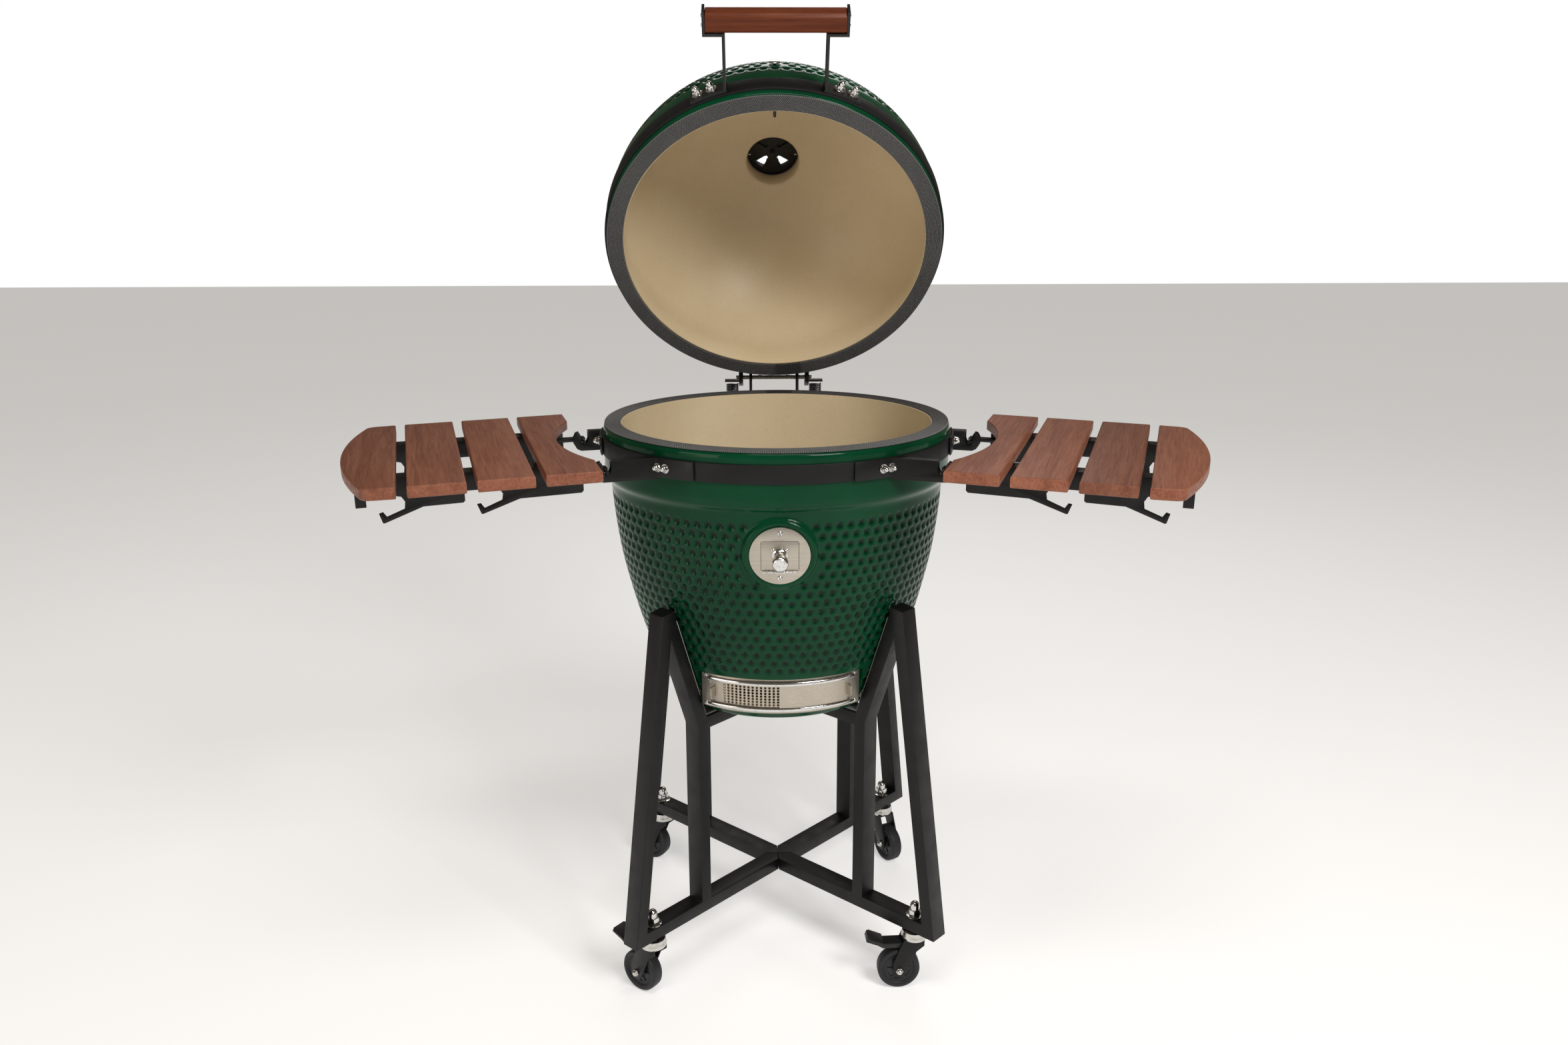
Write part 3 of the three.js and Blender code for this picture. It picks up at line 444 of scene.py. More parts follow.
def dimples(theta, r, s, s0, s1, skip):
    """depth at each point: theta (n), rows r, s (m) -> (m, n)"""
    D = np.zeros((len(s), len(theta)))
    rows = int((s1 - s0) / DIM_ROW)
    for k in range(rows + 1):
        sc = s0 + k * DIM_ROW; rc = np.interp(sc, s, r); N = max(6, round(2 * math.pi * rc / DIM_PITCH))
        ph = -math.pi / 2 + (k % 2) * math.pi / N
        idx = np.where(np.abs(s - sc) < DIM_R + 1)[0]
        if not len(idx): continue
        dt = (theta - ph + math.pi / N) % (2 * math.pi / N) - math.pi / N
        cen = theta - dt
        keep = np.array([0.0 if skip(c, sc, rc) else 1.0 for c in cen])
        for i in idx:
            d = np.sqrt((dt * r[i]) ** 2 + (s[i] - sc) ** 2)
            q = np.clip(1 - (d / DIM_R) ** 2, 0, 1) ** 1.25 * keep
            D[i] = np.maximum(D[i], q)
    return D
def ceramic(name, body, frame_m, outer, inner_prof, tail_prof, zones, skip, shape=None, nth=760, replaces=(), cutters=(), extra_th=()):
    """outer: array of (r, z) rows, closely spaced; tail_prof/inner_prof close the shell"""
    theta = np.concatenate([np.linspace(-math.pi, math.pi, nth, endpoint=False), np.array(extra_th)]); theta = np.unique(np.round(theta, 6))
    n = len(theta); r, z = outer[:, 0], outer[:, 1]
    s = np.concatenate([[0], np.cumsum(np.hypot(np.diff(r), np.diff(z)))])
    D = dimples(theta, r, s, np.interp(zones[0], np.arange(len(s)), s), np.interp(zones[1], np.arange(len(s)), s), skip)
    dr, dz = np.gradient(r, s), np.gradient(z, s); nr, nz = dz, -dr
    sg = np.sign(nr.mean()); nr, nz = nr * sg, nz * sg
    R = r[:, None] - DIM_D * D * nr[:, None]; Z = z[:, None] - DIM_D * D * nz[:, None]
    if shape is not None: R, Z, D = shape(theta, R, Z, D)
    Vo = np.stack([R * np.cos(theta), R * np.sin(theta), Z], -1).reshape(-1, 3)
    rest = np.array(tail_prof + inner_prof, float); m2 = len(rest)
    Vi = np.stack([np.outer(rest[:, 0], np.cos(theta)), np.outer(rest[:, 0], np.sin(theta)), np.repeat(rest[:, 1:2], n, 1)], -1).reshape(-1, 3)
    V = np.concatenate([Vo, Vi]); m = len(r) + m2; F, mi = [], []
    jn = np.roll(np.arange(n), -1)
    for k in range(m):
        l = (k + 1) % m
        if l == 0 and rest[-1, 0] < 1e-6: break
        for j in range(n):
            F.append((k * n + j, k * n + jn[j], l * n + jn[j], l * n + j)); mi.append(1 if k >= len(r) + len(tail_prof) - 1 else 0)
    me = bpy.data.meshes.new(name); me.from_pydata((V / 1000).tolist(), [], F)
    me.materials.append(M["glaze"]); me.materials.append(M["cream"])
    me.polygons.foreach_set("material_index", mi)
    # the dimple depth is kept per vertex; the glaze darkens the hollows with it, painted shade
    at = me.attributes.new("painted_dimple_shade", "FLOAT", "POINT"); painted_dimple_shade = np.concatenate([np.clip(D, 0, 1).reshape(-1), np.zeros(len(Vi))]).astype(np.float32)
    at.data.foreach_set("value", painted_dimple_shade)
    bm = bmesh.new(); bm.from_mesh(me); bmesh.ops.remove_doubles(bm, verts=bm.verts, dist=1e-6); bmesh.ops.recalc_face_normals(bm, faces=bm.faces); bm.to_mesh(me); bm.free()
    o = bpy.data.objects.new(name, me); bpy.context.scene.collection.objects.link(o); o.matrix_world = frame_m
    for i, c in enumerate(cutters):
        co = bpy.data.objects.new(name + "_cut%d" % i, bpy.data.meshes.new(name + "_cut%d" % i)); co.data.from_pydata((np.asarray(c[0]) / 1000).tolist(), [], [tuple(f) for f in c[1]])
        co.data.materials.append(M["cream"])
        bb = bmesh.new(); bb.from_mesh(co.data); bmesh.ops.recalc_face_normals(bb, faces=bb.faces); bb.to_mesh(co.data); bb.free()
        bpy.context.scene.collection.objects.link(co); co.matrix_world = frame_m
        md = o.modifiers.new("cut%d" % i, "BOOLEAN"); md.operation = "DIFFERENCE"; md.object = co; md.solver = "EXACT"; md.material_mode = "TRANSFER"
    if cutters:
        apply_mods(o)
        for i in range(len(cutters)): bpy.data.objects.remove(bpy.data.objects[name + "_cut%d" % i])
    me = o.data; me.polygons.foreach_set("use_smooth", [True] * len(me.polygons)); me.set_sharp_from_angle(angle=rad(50))
    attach(o, body)
    if replaces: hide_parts(*replaces)
    return o
def resample(pts, step):
    P = np.array(pts, float); s = np.concatenate([[0], np.cumsum(np.hypot(*np.diff(P, axis=0).T))]); n = int(s[-1] / step) + 1
    q = np.linspace(0, s[-1], n); return np.stack([np.interp(q, s, P[:, 0]), np.interp(q, s, P[:, 1])], -1)

# base
bz = [435.5, 437.5, 445, 461, 480, 532, 610, 680, 750, 776]; br = [150, 160.5, 168, 177, 185.4, 206.3, 229.3, 244.4, 252.9, 254.7]
zz = np.linspace(435.5, 776, 400); body_curve = list(zip(pchip(bz, br, zz), zz))
lip = [(256.2, 780.5), (259.6, 784.5), (262.6, 788.5), (263.8, 792), (264, 797), (264, 857.5), (263.5, 860.5), (262.2, 862.8), (260.5, 864)]
outer = resample(body_curve + lip, 2.25)
for zc in (455.6, 457.6, 512.4, 514.0):     # rows on the draft door's recess
    k = int(np.argmin(abs(outer[:, 1] - zc))); outer[k] = (np.interp(zc, outer[:, 1], outer[:, 0]), zc)
PZ, PY, PT = 719.0, -252.6, 6.7
def base_shape(theta, R, Z, D):
    th = theta[None, :]
    X, Y = R * np.cos(th), R * np.sin(th); c, s_ = math.cos(rad(PT)), math.sin(rad(PT))
    yy, zq = Y - PY, Z - PZ; ly = c * yy + s_ * zq; lz = -s_ * yy + c * zq; rho = np.hypot(X, lz)
    front = Y < 0
    # round boss round the starter port: flat inside, a soft ring at its edge
    w = smoothstep((55.0 - rho) / 6.0) * front
    ringh = 1.6 * np.exp(-((rho - 46.2) / 3.2) ** 2)
    tgt_ly = 0.6 - ringh
    Rt = R + (-(tgt_ly - ly)) / np.maximum(0.4, -np.sin(th)) * w
    R = np.where(w > 0, Rt, R); D = D * (1 - w)
    # recess of the draft door
    ph = (np.degrees(th) + 89.0 + 180) % 360 - 180
    inz = (Z > 456.5) & (Z < 513.2); ina = np.abs(ph) < 39.7
    R = np.where(inz & ina, 186.9, R); D = np.where(inz & ina, 0, D)
    lowr = (Z > 447) & (Z <= 456.5) & ina
    R = np.where(lowr, R + (186.9 - R) * smoothstep((Z - 447) / 9.5) * 0.9, R)
    return R, Z, D
def base_skip(th, s, r):
    z = np.interp(s, sb, outer[:, 1]); x, y = r * math.cos(th), r * math.sin(th)
    if y < 0 and math.hypot(x, z - PZ) < 59: return True
    ph = (math.degrees(th) + 89 + 180) % 360 - 180
    return abs(ph) < 41.5 and 447 < z < 520
sb = np.concatenate([[0], np.cumsum(np.hypot(*np.diff(outer, axis=0).T))])
kz = lambda z: int(np.argmin(abs(outer[:, 1] - z)))
cyl = xf(revolve([(0, -60), (31, -60), (31, 60), (0, 60)], 64, close=False), RX(90) , None)
cyl = xf(cyl, RX(PT), (0, PY + 20, PZ))
def sector_prism(r0, r1, a0, a1, z0, z1, n=24):
    P = [(r1 * math.cos(rad(a0 + (a1 - a0) * i / n)), r1 * math.sin(rad(a0 + (a1 - a0) * i / n))) for i in range(n + 1)]
    P += [(r0 * math.cos(rad(a1 + (a0 - a1) * i / n)), r0 * math.sin(rad(a1 + (a0 - a1) * i / n))) for i in range(n + 1)]
    return prism(P, z0, z1)
inner = [(236.5, 864), (236.4, 850), (235.6, 820), (233, 790), (228, 745), (219, 690), (207.5, 635), (193, 575), (176, 524), (158, 482), (147, 468), (134, 461), (0, 460)]
ceramic("ceramic_base_dimpled", "body", BASE, outer, inner, [(258.5, 864.6), (239, 864.6)], (kz(447), kz(768)), base_skip, base_shape, replaces=("ceramic_base",),
        cutters=(cyl, sector_prism(120, 230, -115, -63, 466, 502)), extra_th=[rad(a) for a in (-89 - 39.9, -89 - 39.6, -89 + 39.6, -89 + 39.9)])

# lid
lo_pts = [(260.5, 870.6), (262.2, 871.6), (263.5, 873.8), (264, 877), (264, 922)]
zz = np.concatenate([np.linspace(925, 1100, 120), np.linspace(1101, 1153, 120)]); lo_pts += [(domeR(z), z) for z in zz if domeR(z) > 64]
lidout = resample(lo_pts, 2.25); ls = np.concatenate([[0], np.cumsum(np.hypot(*np.diff(lidout, axis=0).T))])
kl = lambda z: int(np.argmin(abs(lidout[:, 1] - z)))
def lid_skip(th, s, r):
    z = np.interp(s, ls, lidout[:, 1]); x, y = r * math.cos(th), r * math.sin(th)
    return (y < 0 and math.hypot(x, z - 972) < 16) or r < 74
collar = [(62.5, 1146.4), (61.2, 1148.6), (60.6, 1152), (60, 1168), (59, 1171), (56, 1172), (48, 1172), (45.4, 1171.4)]
lidin = [(44.4, 1170), (44.4, 1122), (46, 1119.6)] + [(domeRi(z), z) for z in (1118, 1113, 1107, 1099, 1090, 1079, 1066, 1052, 1037, 1020, 1003, 984, 965, 947, 930)] + [(238.6, 912), (236.5, 890), (236.5, 870.6)]
lid_o = ceramic("ceramic_lid_dimpled", "lid", LID, lidout, lidin, collar, (kl(948), len(lidout) - 3), lid_skip, None, replaces=("ceramic_lid",))

# --------------------------------------------------------- gaskets and bands
def gasket(name, node_name, body, fm, z_face, z_back, seam_at):
    ribs = 12; prof = []
    up = 1 if z_face > z_back else -1
    n = 96; r0, r1 = 237.7, 262.5
    for i in range(n + 1):
        q = i / n; r = r0 + (r1 - r0) * q
        edge = min(1, min(q, 1 - q) / 0.06); h = (abs(z_face - z_back) - 0.75) * math.sqrt(max(0, 1 - (1 - edge) ** 2)) + 0.75 * abs(math.sin(math.pi * ribs * q)) ** 0.7 * edge
        prof.append((r, z_back + up * h))
    prof += [(r1, z_back - up * 0.01), (r0, z_back - up * 0.01)]
    V, F = revolve(prof, 384)
    o = obj(name, V, F, "gasket", body, fm, smooth=60, replaces=(node_name,))
    co = np.array([v.co for v in o.data.vertices]); a = np.degrees(np.arctan2(co[:, 1], co[:, 0]))
    d = np.abs((a - seam_at + 180) % 360 - 180)
    at = o.data.attributes.new("seam", "FLOAT", "POINT"); at.data.foreach_set("value", (d < 5.2).astype(np.float32))
gasket("gasket_base_woven", "base_gasket", "body", BASE, 867.0, 864.3, 88.0)
gasket("gasket_lid_woven", "lid_gasket", "lid", LID, 867.6, 870.3, 84.0)
def band(name, node_name, body, fm, z0, z1):
    r0, r1 = 264.25, 267.2
    prof = [(r0, z0), (r1 - 0.6, z0), (r1 - 0.15, z0 + 0.3), (r1, z0 + 0.8), (r1 - 0.15, (z0 + z1) / 2), (r1, z1 - 0.8), (r1 - 0.15, z1 - 0.3), (r1 - 0.6, z1), (r0, z1)]
    V, F = revolve(prof, 300); obj(name, V, F, "band", body, fm, smooth=50, replaces=(node_name,))
band("band_base_steel", "base_band", "body", BASE, 822, 849)
band("band_lid_steel", "lid_band", "lid", LID, 881, 911)

# ------------------------------------------------------------------- stand
for k in CORNER:
    detail(f"stand_frame_{k}", "coat", 1.6, 3)
    detail(f"felt_pad_{k}", "felt", 0.9, 2)
    V, F = acorn(24, 17); obj(f"caster_nut_{k}", *xf((V, F), None, (285, 0, 121.2)), "chrome", "body", STAND(k), smooth=40)

# ----------------------------------------------------------------- casters
def wheel_parts():
    tread = [(18, -6.5), (23, -7), (25, -9.2), (28.5, -10.6), (31, -10), (32.6, -8), (33, -4), (33, 4), (32.6, 8), (31, 10), (28.5, 10.6), (25, 9.2), (23, 7), (18, 6.5)]
    hub = [(4.3, -8.4), (8.5, -8.4), (9.6, -7.6), (10, -6), (17.6, -5.6), (17.9, -6.4), (22.6, -6.9), (22.6, 6.9), (17.9, 6.4), (17.6, 5.6), (10, 6), (9.6, 7.6), (8.5, 8.4), (4.3, 8.4)]
    return revolve(tread, 96), revolve(hub, 72)
for k in CORNER:
    fm = CASTER(k)
    tr, hb = wheel_parts()
    P = [xf(p, RX(90), (24, 0, 33)) for p in (tr, hb)]
    obj(f"wheel_tread_{k}", *P[0], "rubber", f"wheel_{k}", fm, smooth=40, replaces=(f"caster_wheel_{k}",))
    ribs = []
    for i in range(6):
        for sgn in (-1, 1):
            bx = prism([(9.6, -1.1), (18.2, -1.4), (18.2, 1.4), (9.6, 1.1)], 5.4 if sgn > 0 else -7.2, 7.2 if sgn > 0 else -5.4)
            ribs.append(xf(xf(bx, RZ(60 * i)), RX(90), (24, 0, 33)))
    obj(f"wheel_hub_{k}", *merge(P[1], *ribs), "hub", f"wheel_{k}", fm, smooth=40)
    detail(f"caster_fork_{k}", "coat", 0.7, 2)
    ring = revolve([(12, 84.5), (19.6, 84.5), (20.4, 86), (20.4, 90), (19.2, 92.2), (19.4, 94.5), (18.8, 97.4), (12, 98.4), (9, 98.4), (9, 100.7), (0, 100.7)], 56, close=False)
    obj(f"caster_race_{k}", *ring, "pin", f"caster_{k}", fm, smooth=35)
    bolt = [xf(acorn(5.5, 10, False), RX(-90 * s), (24, 15.0 * s, 33)) for s in (1, -1)]
    obj(f"caster_axle_nuts_{k}", *merge(*bolt), "pin", f"caster_{k}", fm, smooth=40)
for k in ("fl", "fr"):
    detail(f"brake_pedal_{k}", "plastic", 0.9, 2)

# ------------------------------------------------------------- starter port
V, F = revolve([(31.5, -1.9), (41.6, -1.9), (42.3, -1.6), (42.5, -1.0), (42.5, -0.3), (31.5, -0.3)], 96)
def disc_with_window(r, hw, z0, z1, y0, y1, n=96, rim=0.7):
    """round plate in the xz plane with a rectangular window"""
    pts_o = [(r * math.cos(2 * math.pi * i / n), r * math.sin(2 * math.pi * i / n)) for i in range(n)]
    pts_i = []
    for i in range(n):
        a = 2 * math.pi * i / n; c, s = math.cos(a), math.sin(a)
        tx = hw / abs(c) if abs(c) > 1e-9 else 1e9; tz = (z1 if s > 0 else -z0) / abs(s) if abs(s) > 1e-9 else 1e9
        t = min(tx, tz); pts_i.append((t * c, t * s))
    rows = [[(x, y0 + rim, z) for x, z in pts_o], [(x * (1 - rim * 0.3 / r), y0 + rim * 0.3, z * (1 - rim * 0.3 / r)) for x, z in pts_o], [(x * (1 - rim / r), y0, z * (1 - rim / r)) for x, z in pts_o],
            [(x, y0, z) for x, z in pts_i], [(x, y1, z) for x, z in pts_i], [(x, y1, z) for x, z in pts_o]]
    V = [p for r_ in rows for p in r_]; F = []
    for a in range(6):
        b = (a + 1) % 6
        for i in range(n): j = (i + 1) % n; F.append([a * n + i, a * n + j, b * n + j, b * n + i])
    return np.array(V), F
obj("port_disc", *disc_with_window(42.5, 26.5, -22.0, 22.0, -1.9, -0.3), "steel", "body", PORT, smooth=35, replaces=("port_plate",))
hat = prism([(-26, -21.5), (26, -21.5), (26, 21.5), (-26, 21.5)], 0.3, 1.7)
obj("hatch_leaf", *xf(hat, RX(90)), "steel", "starter_hatch", PORT, smooth=35, bevel=0.4, replaces=("starter_hatch",))
knob = [(0, 0.5), (10.6, 0.5), (10.6, 2.0), (9.2, 2.6), (6.6, 5.2), (5.8, 8), (5.6, 13), (5.9, 17), (7.4, 19.5), (9.6, 20.4), (10.9, 21.4), (11.3, 23), (11.3, 30.5), (10.9, 32.6), (9.6, 34.4), (8.9, 34.8), (8.7, 34.2), (7.6, 34.2), (7.4, 34.9), (0, 35.4)]
obj("hatch_knob", *xf(xf(revolve(knob, 64, close=False), RX(90)), None, (0, -1.2, 1)), "chrome", "starter_hatch", PORT, smooth=30)
rv = [xf(xf(screw(2.6, 1.4, True), RX(90)), None, (x, -1.7, 8.4)) for x in (-9.5, 9.5)]
obj("hatch_rivets", *merge(*rv), "chrome", "starter_hatch", PORT, smooth=40)
bar = lambda x0, x1, r=1.7: xf(revolve([(0, x0), (r * 0.8, x0), (r, x0 + 0.4), (r, x1 - 0.4), (r * 0.8, x1), (0, x1)], 20, close=False), RY(90), (0, -2.9, -24.1))
obj("hatch_barrel_ends", *merge(bar(-23.5, -8.2), bar(8.2, 23.5)), "pin", "body", PORT, smooth=40)
obj("hatch_barrel_mid", *merge(bar(-7.6, 7.6)), "chrome", "starter_hatch", PORT, smooth=40)
sc = [xf(xf(screw(3.9, 2.4), RX(90)), None, (0, -1.8, z)) for z in (33.5, -33.5)]
obj("port_screws", *merge(*sc), "chrome", "body", PORT, smooth=40)

# --------------------------------------------------------------- draft door
D = 188.0
def bent(pts2, a0, a1, n=40, flip=False):
    """profile of (r, z) swept round the axis from a0 to a1 degrees (0 = front)"""
    return revolve(pts2, n, -90 + a0, -90 + a1, True)
def arc_plate(r0, r1, a0, a1, z0, z1, window=None, n=48, bev=0.35):
    V, F = bent([(r0, z0), (r1 - bev, z0), (r1, z0 + bev), (r1, z1 - bev), (r1 - bev, z1), (r0, z1)], a0, a1, n)
    return V, F
# frame: upper and lower strips plus the two ends, thick rolled flanges
fr = [arc_plate(D, D + 1.5, -38.4, 38.4, 16, 27), arc_plate(D, D + 1.5, -38.4, 38.4, -27, -16), arc_plate(D, D + 1.5, -38.4, -26, -16, 16, n=10), arc_plate(D, D + 1.5, 26, 38.4, -16, 16, n=10)]
obj("draft_frame_plate", *merge(*fr), "door", "body", DRAFT, smooth=35, replaces=("draft_frame",))
roll_t = [(D + 1.4, 20.4), (D + 5.4, 20.4), (D + 5.9, 19.4), (D + 5.9, 17.9), (D + 6.7, 17.6), (D + 7.1, 18.2), (D + 7.1, 21.4), (D + 6.3, 22.6), (D + 5.2, 23.0), (D + 1.4, 23.0)]
roll_b = [(r, -z) for r, z in roll_t][::-1]
obj("draft_rails", *merge(bent(roll_t, -34, 34, 60), bent(roll_b, -34, 34, 60)), "chrome", "body", DRAFT, smooth=35)
# perforated screen
def perforated(r, th, a0, a1, z0, z1, nx, nz, hole, margin_l=0.0, m=12):
    W = rad(a1 - a0) * r; H = z1 - z0; cw, ch = W / nx, H / nz; V, F = [], []
    idx = {}
    def vid(x, z, lay):
        key = (round(x, 3), round(z, 3), lay)
        if key not in idx:
            a = rad(a0) + x / r - math.pi / 2; rr = r + (th if lay else 0); idx[key] = len(V); V.append((rr * math.cos(a), rr * math.sin(a), z0 + z))
        return idx[key]
    for i in range(nx):
        for j in range(nz):
            cx, cz = (i + 0.5) * cw, (j + 0.5) * ch; solid_cell = (i * cw < margin_l)
            sq = []
            for q in range(m):
                a = 2 * math.pi * (q + 0.5) / m; c, s = math.cos(a), math.sin(a); t = min(cw / 2 / max(abs(c), 1e-9), ch / 2 / max(abs(s), 1e-9)); sq.append((cx + t * c, cz + t * s))
            cor = [(cx + sx * cw / 2, cz + sz * ch / 2) for sx, sz in ((1, 1), (-1, 1), (-1, -1), (1, -1))]
            for lay in (0, 1):
                if solid_cell:
                    F.append([vid(*c, lay) for c in cor]); continue
                hc = [(cx + hole / 2 * math.cos(2 * math.pi * (q + 0.5) / m), cz + hole / 2 * math.sin(2 * math.pi * (q + 0.5) / m)) for q in range(m)]
                for q in range(m):
                    p = (q + 1) % m; F.append([vid(*hc[q], lay), vid(*hc[p], lay), vid(*sq[p], lay), vid(*sq[q], lay)])
                for ci, q0 in zip(cor, (m // 8, m // 8 + m // 4, m // 8 + m // 2, m // 8 + 3 * m // 4)):
                    pass
            if not solid_cell:
                for q in range(m):
                    p = (q + 1) % m; F.append([vid(*hc[q], 0), vid(*hc[p], 0), vid(*hc[p], 1), vid(*hc[q], 1)])
    return np.array(V), F
scr = perforated(D + 1.9, 0.9, -30.8, 1.2, -20, 20, 17, 9, 3.9, margin_l=8, m=16)
tabl = [(D + 1.9, -9), (D + 12.2, -8), (D + 13, -7), (D + 13, 7), (D + 12.2, 8), (D + 1.9, 9)]
obj("draft_screen_holes", *merge(scr, bent(tabl, -31.6, -30.9, 2)), "door", "draft_screen", DRAFT, smooth=35, replaces=("draft_screen",))
dd = [arc_plate(D + 3.3, D + 4.4, -1, 31, -20, 20, n=48), bent([(D + 3.3, -9), (D + 12.2, -8), (D + 13, -7), (D + 13, 7), (D + 12.2, 8), (D + 3.3, 9)], 30.8, 31.6, 2)]
obj("draft_door_leaf", *merge(*dd), "door", "draft_door", DRAFT, smooth=35, replaces=("draft_door",))
bolts = []
for a, z in ((-36, 22.5), (-36, -22.5), (36, 22.5), (36, -22.5)):
    d = Vector((math.sin(rad(a)), -math.cos(rad(a)), 0)); bolts.append(xf(screw(3.4, 2.2), toward(d), tuple((D + 1.4) * x for x in d[:2]) + (z,)))
for a, z in ((-33.6, 13), (-33.6, -13)):
    d = Vector((math.sin(rad(a)), -math.cos(rad(a)), 0)); bolts.append(xf(screw(2.2, 1.8), toward(d), tuple((D + 1.4) * x for x in d[:2]) + (z,)))
obj("draft_bolts", *merge(*bolts), "chrome", "body", DRAFT, smooth=40)
obj("draft_felt", *bent([(184, 27.4), (193.6, 27.4), (194.2, 28.2), (194.0, 30.6), (184, 30.6)], -37.5, 37.5, 60), "felt", "body", DRAFT, smooth=60)

# ------------------------------------------------------------------ shelves
SW_, SG_ = 72.0, 13.2
def slat_shapes():
    inner = [(0.0, 171.0)]
    R, cx, cy = 362, -329, -38
    for i in range(41):
        y = 113 - i * (113 + 189) / 40; inner.append((max(0.0, cx + math.sqrt(R * R - (y - cy) ** 2)), y))
    inner += [(0.0, -260.0), (SW_, -260.0), (SW_, 171.0)]
    out = [inner]
    for i in (1, 2):
        x = i * (SW_ + SG_); out.append([(x, -260.0), (x + SW_, -260.0), (x + SW_, 171.0), (x, 171.0)])
    x = 3 * (SW_ + SG_); o = [(x, -260.0)]; R = 726; cx = 328 - R; mid = -44.5
    c0 = (x + 39 - 17, -260 + 17)
    pts = []
    yc = 198; xe = cx + math.sqrt(R * R - yc ** 2)
    for q in range(9):
        a = rad(-90 + 78 * q / 8); pts.append((xe - 17 + 17 * math.cos(a), mid - yc + 1.5 + 17 * math.sin(a)))
    o += [(p[0], max(-260.0, p[1])) for p in pts]
    for i in range(31):
        y = mid - yc + 4 + i * (2 * yc - 8) / 30; o.append((cx + math.sqrt(R * R - (y - mid) ** 2), y))
    o += [(p[0], 2 * mid - max(-260.0, p[1])) for p in pts[::-1]]
    o.append((x, 171.0)); out.append(o)
    return out
def slat_mesh(pts, k, t=16.0, rnd=2.6):
    """plan outline with rounded long edges"""
    P = np.array([(k * x, y) for x, y in pts]); n = len(P)
    area = 0.5 * np.sum(P[:, 0] * np.roll(P[:, 1], -1) - np.roll(P[:, 0], -1) * P[:, 1])
    if area < 0: P = P[::-1]
    e = np.roll(P, -1, 0) - P; e /= np.linalg.norm(e, axis=1)[:, None]; nrm = np.stack([e[:, 1], -e[:, 0]], -1)
    np_ = np.roll(nrm, 1, 0); b = nrm + np_; b /= np.maximum(1e-6, (b * nrm).sum(1))[:, None]
    ln = np.linalg.norm(b, axis=1); b[ln > 1.6] *= (1.6 / ln[ln > 1.6])[:, None]
    rows = []
    for ang in (0, 22.5, 45, 67.5, 90):
        rows.append((rnd * (1 - math.sin(rad(ang))), -rnd * (1 - math.cos(rad(ang)))))
    lev = [(ins, z) for ins, z in rows] + [(ins, -t - z) for ins, z in rows[::-1]]
    V, F = [], []
    for ins, z in lev:
        Q = P - b * ins; V += [(x, y, z) for x, y in Q]
    m = len(lev)
    for a in range(m - 1):
        for i in range(n): j = (i + 1) % n; F.append([a * n + i, a * n + j, (a + 1) * n + j, (a + 1) * n + i])
    F.append(list(range(n))); F.append([(m - 1) * n + i for i in range(n)][::-1])
    return np.array(V), F
RAIL_T, BRK_T = (-130, 93), (-150, 73)
for side in ("left", "right"):
    k = SIDE[side]; fm = SHELF(side); am = ARM(side); body = f"shelf_{side}"
    for i, pts in enumerate(slat_shapes()):
        obj(f"slat_{side}_{i + 1}_wood", *slat_mesh(pts, k), "wood", body, fm, smooth=35, replaces=(f"slat_{side}_{i + 1}",))
    for j, f in enumerate(("front", "rear")):
        detail(f"shelf_rail_{side}_{f}", "coat", 0.5, 2)
        detail(f"shelf_bracket_{side}_{f}", "coat", 0.6, 2)
        # bracket bolts on the band
        t = BRK_T[j]; a0 = math.degrees(math.atan2(t, math.sqrt(267.3 ** 2 - t * t)))
        nuts = []
        for da in (-5.4, -2.4):
            a = rad(a0 + da) if k > 0 else rad(180 - a0 - da)
            d = Vector((math.cos(a), math.sin(a), 0)); nuts.append(xf(acorn(10, 8), toward(d), (270.8 * d.x, 270.8 * d.y, 835.5)))
        obj(f"bracket_nuts_{side}_{f}", *merge(*nuts), "chrome", "body", am, smooth=40)
        # wood screws through the rail flange into the slats, seen from below
        ws = []
        for q in range(4):
            for dx in (18, 54):
                ws.append(xf(screw(3.2, 1.8), RX(180), (k * (q * (SW_ + SG_) + dx), RAIL_T[j] + 14, -19.4)))
        obj(f"rail_screws_{side}_{f}", *merge(*ws), "pin", body, fm, smooth=40)

# -------------------------------------------------------------------- hinge
detail("hinge_bracket_base", "coat", 0.7, 2)
detail("hinge_leaf_lid", "coat", 0.7, 2)
V, F = revolve([(0, -66), (3.4, -66), (4, -65.4), (4, 65.4), (3.4, 66), (0, 66)], 32, close=False)
obj("hinge_pin_round", *xf((V, F), RY(90), (0, 282, 886)), "pin", "body", BASE, smooth=40, replaces=("hinge_pin",))
def coil(x, y, z0, z1, r, wire, turns):
    n = int(turns * 26); P = []
    for i in range(n + 1):
        q = i / n; a = 2 * math.pi * turns * q
        zz_ = z0 + wire + (z1 - z0 - 2 * wire) * (0.5 - 0.5 * math.cos(math.pi * q)) * 0.12 + (z1 - z0 - 2 * wire) * q * 0.88
        P.append((x + r * math.cos(a), y + r * math.sin(a), zz_))
    return tube(P, wire, 10)
for s, nm in ((1, "right"), (-1, "left")):
    o = obj(f"spring_coil_{nm}", *coil(s * 73, 305, 800.6, 872.5, 9.7, 1.3, 20), "spring", None, BASE, smooth=60, replaces=(f"hinge_spring_{nm}",))
    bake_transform(o, "body", "lid", start=(s * 0.073, 0.320, 0.801), end=(s * 0.073, 0.320, 0.8725))
nuts = []
for a in (-16.5, -10, 10, 16.5):
    d = Vector((math.sin(rad(a)), math.cos(rad(a)), 0)); nuts.append(xf(acorn(12, 10), toward(d), (271 * d.x, 271 * d.y, 826)))
obj("hinge_nuts_base", *merge(*nuts), "chrome", "body", BASE, smooth=40)
nuts = []
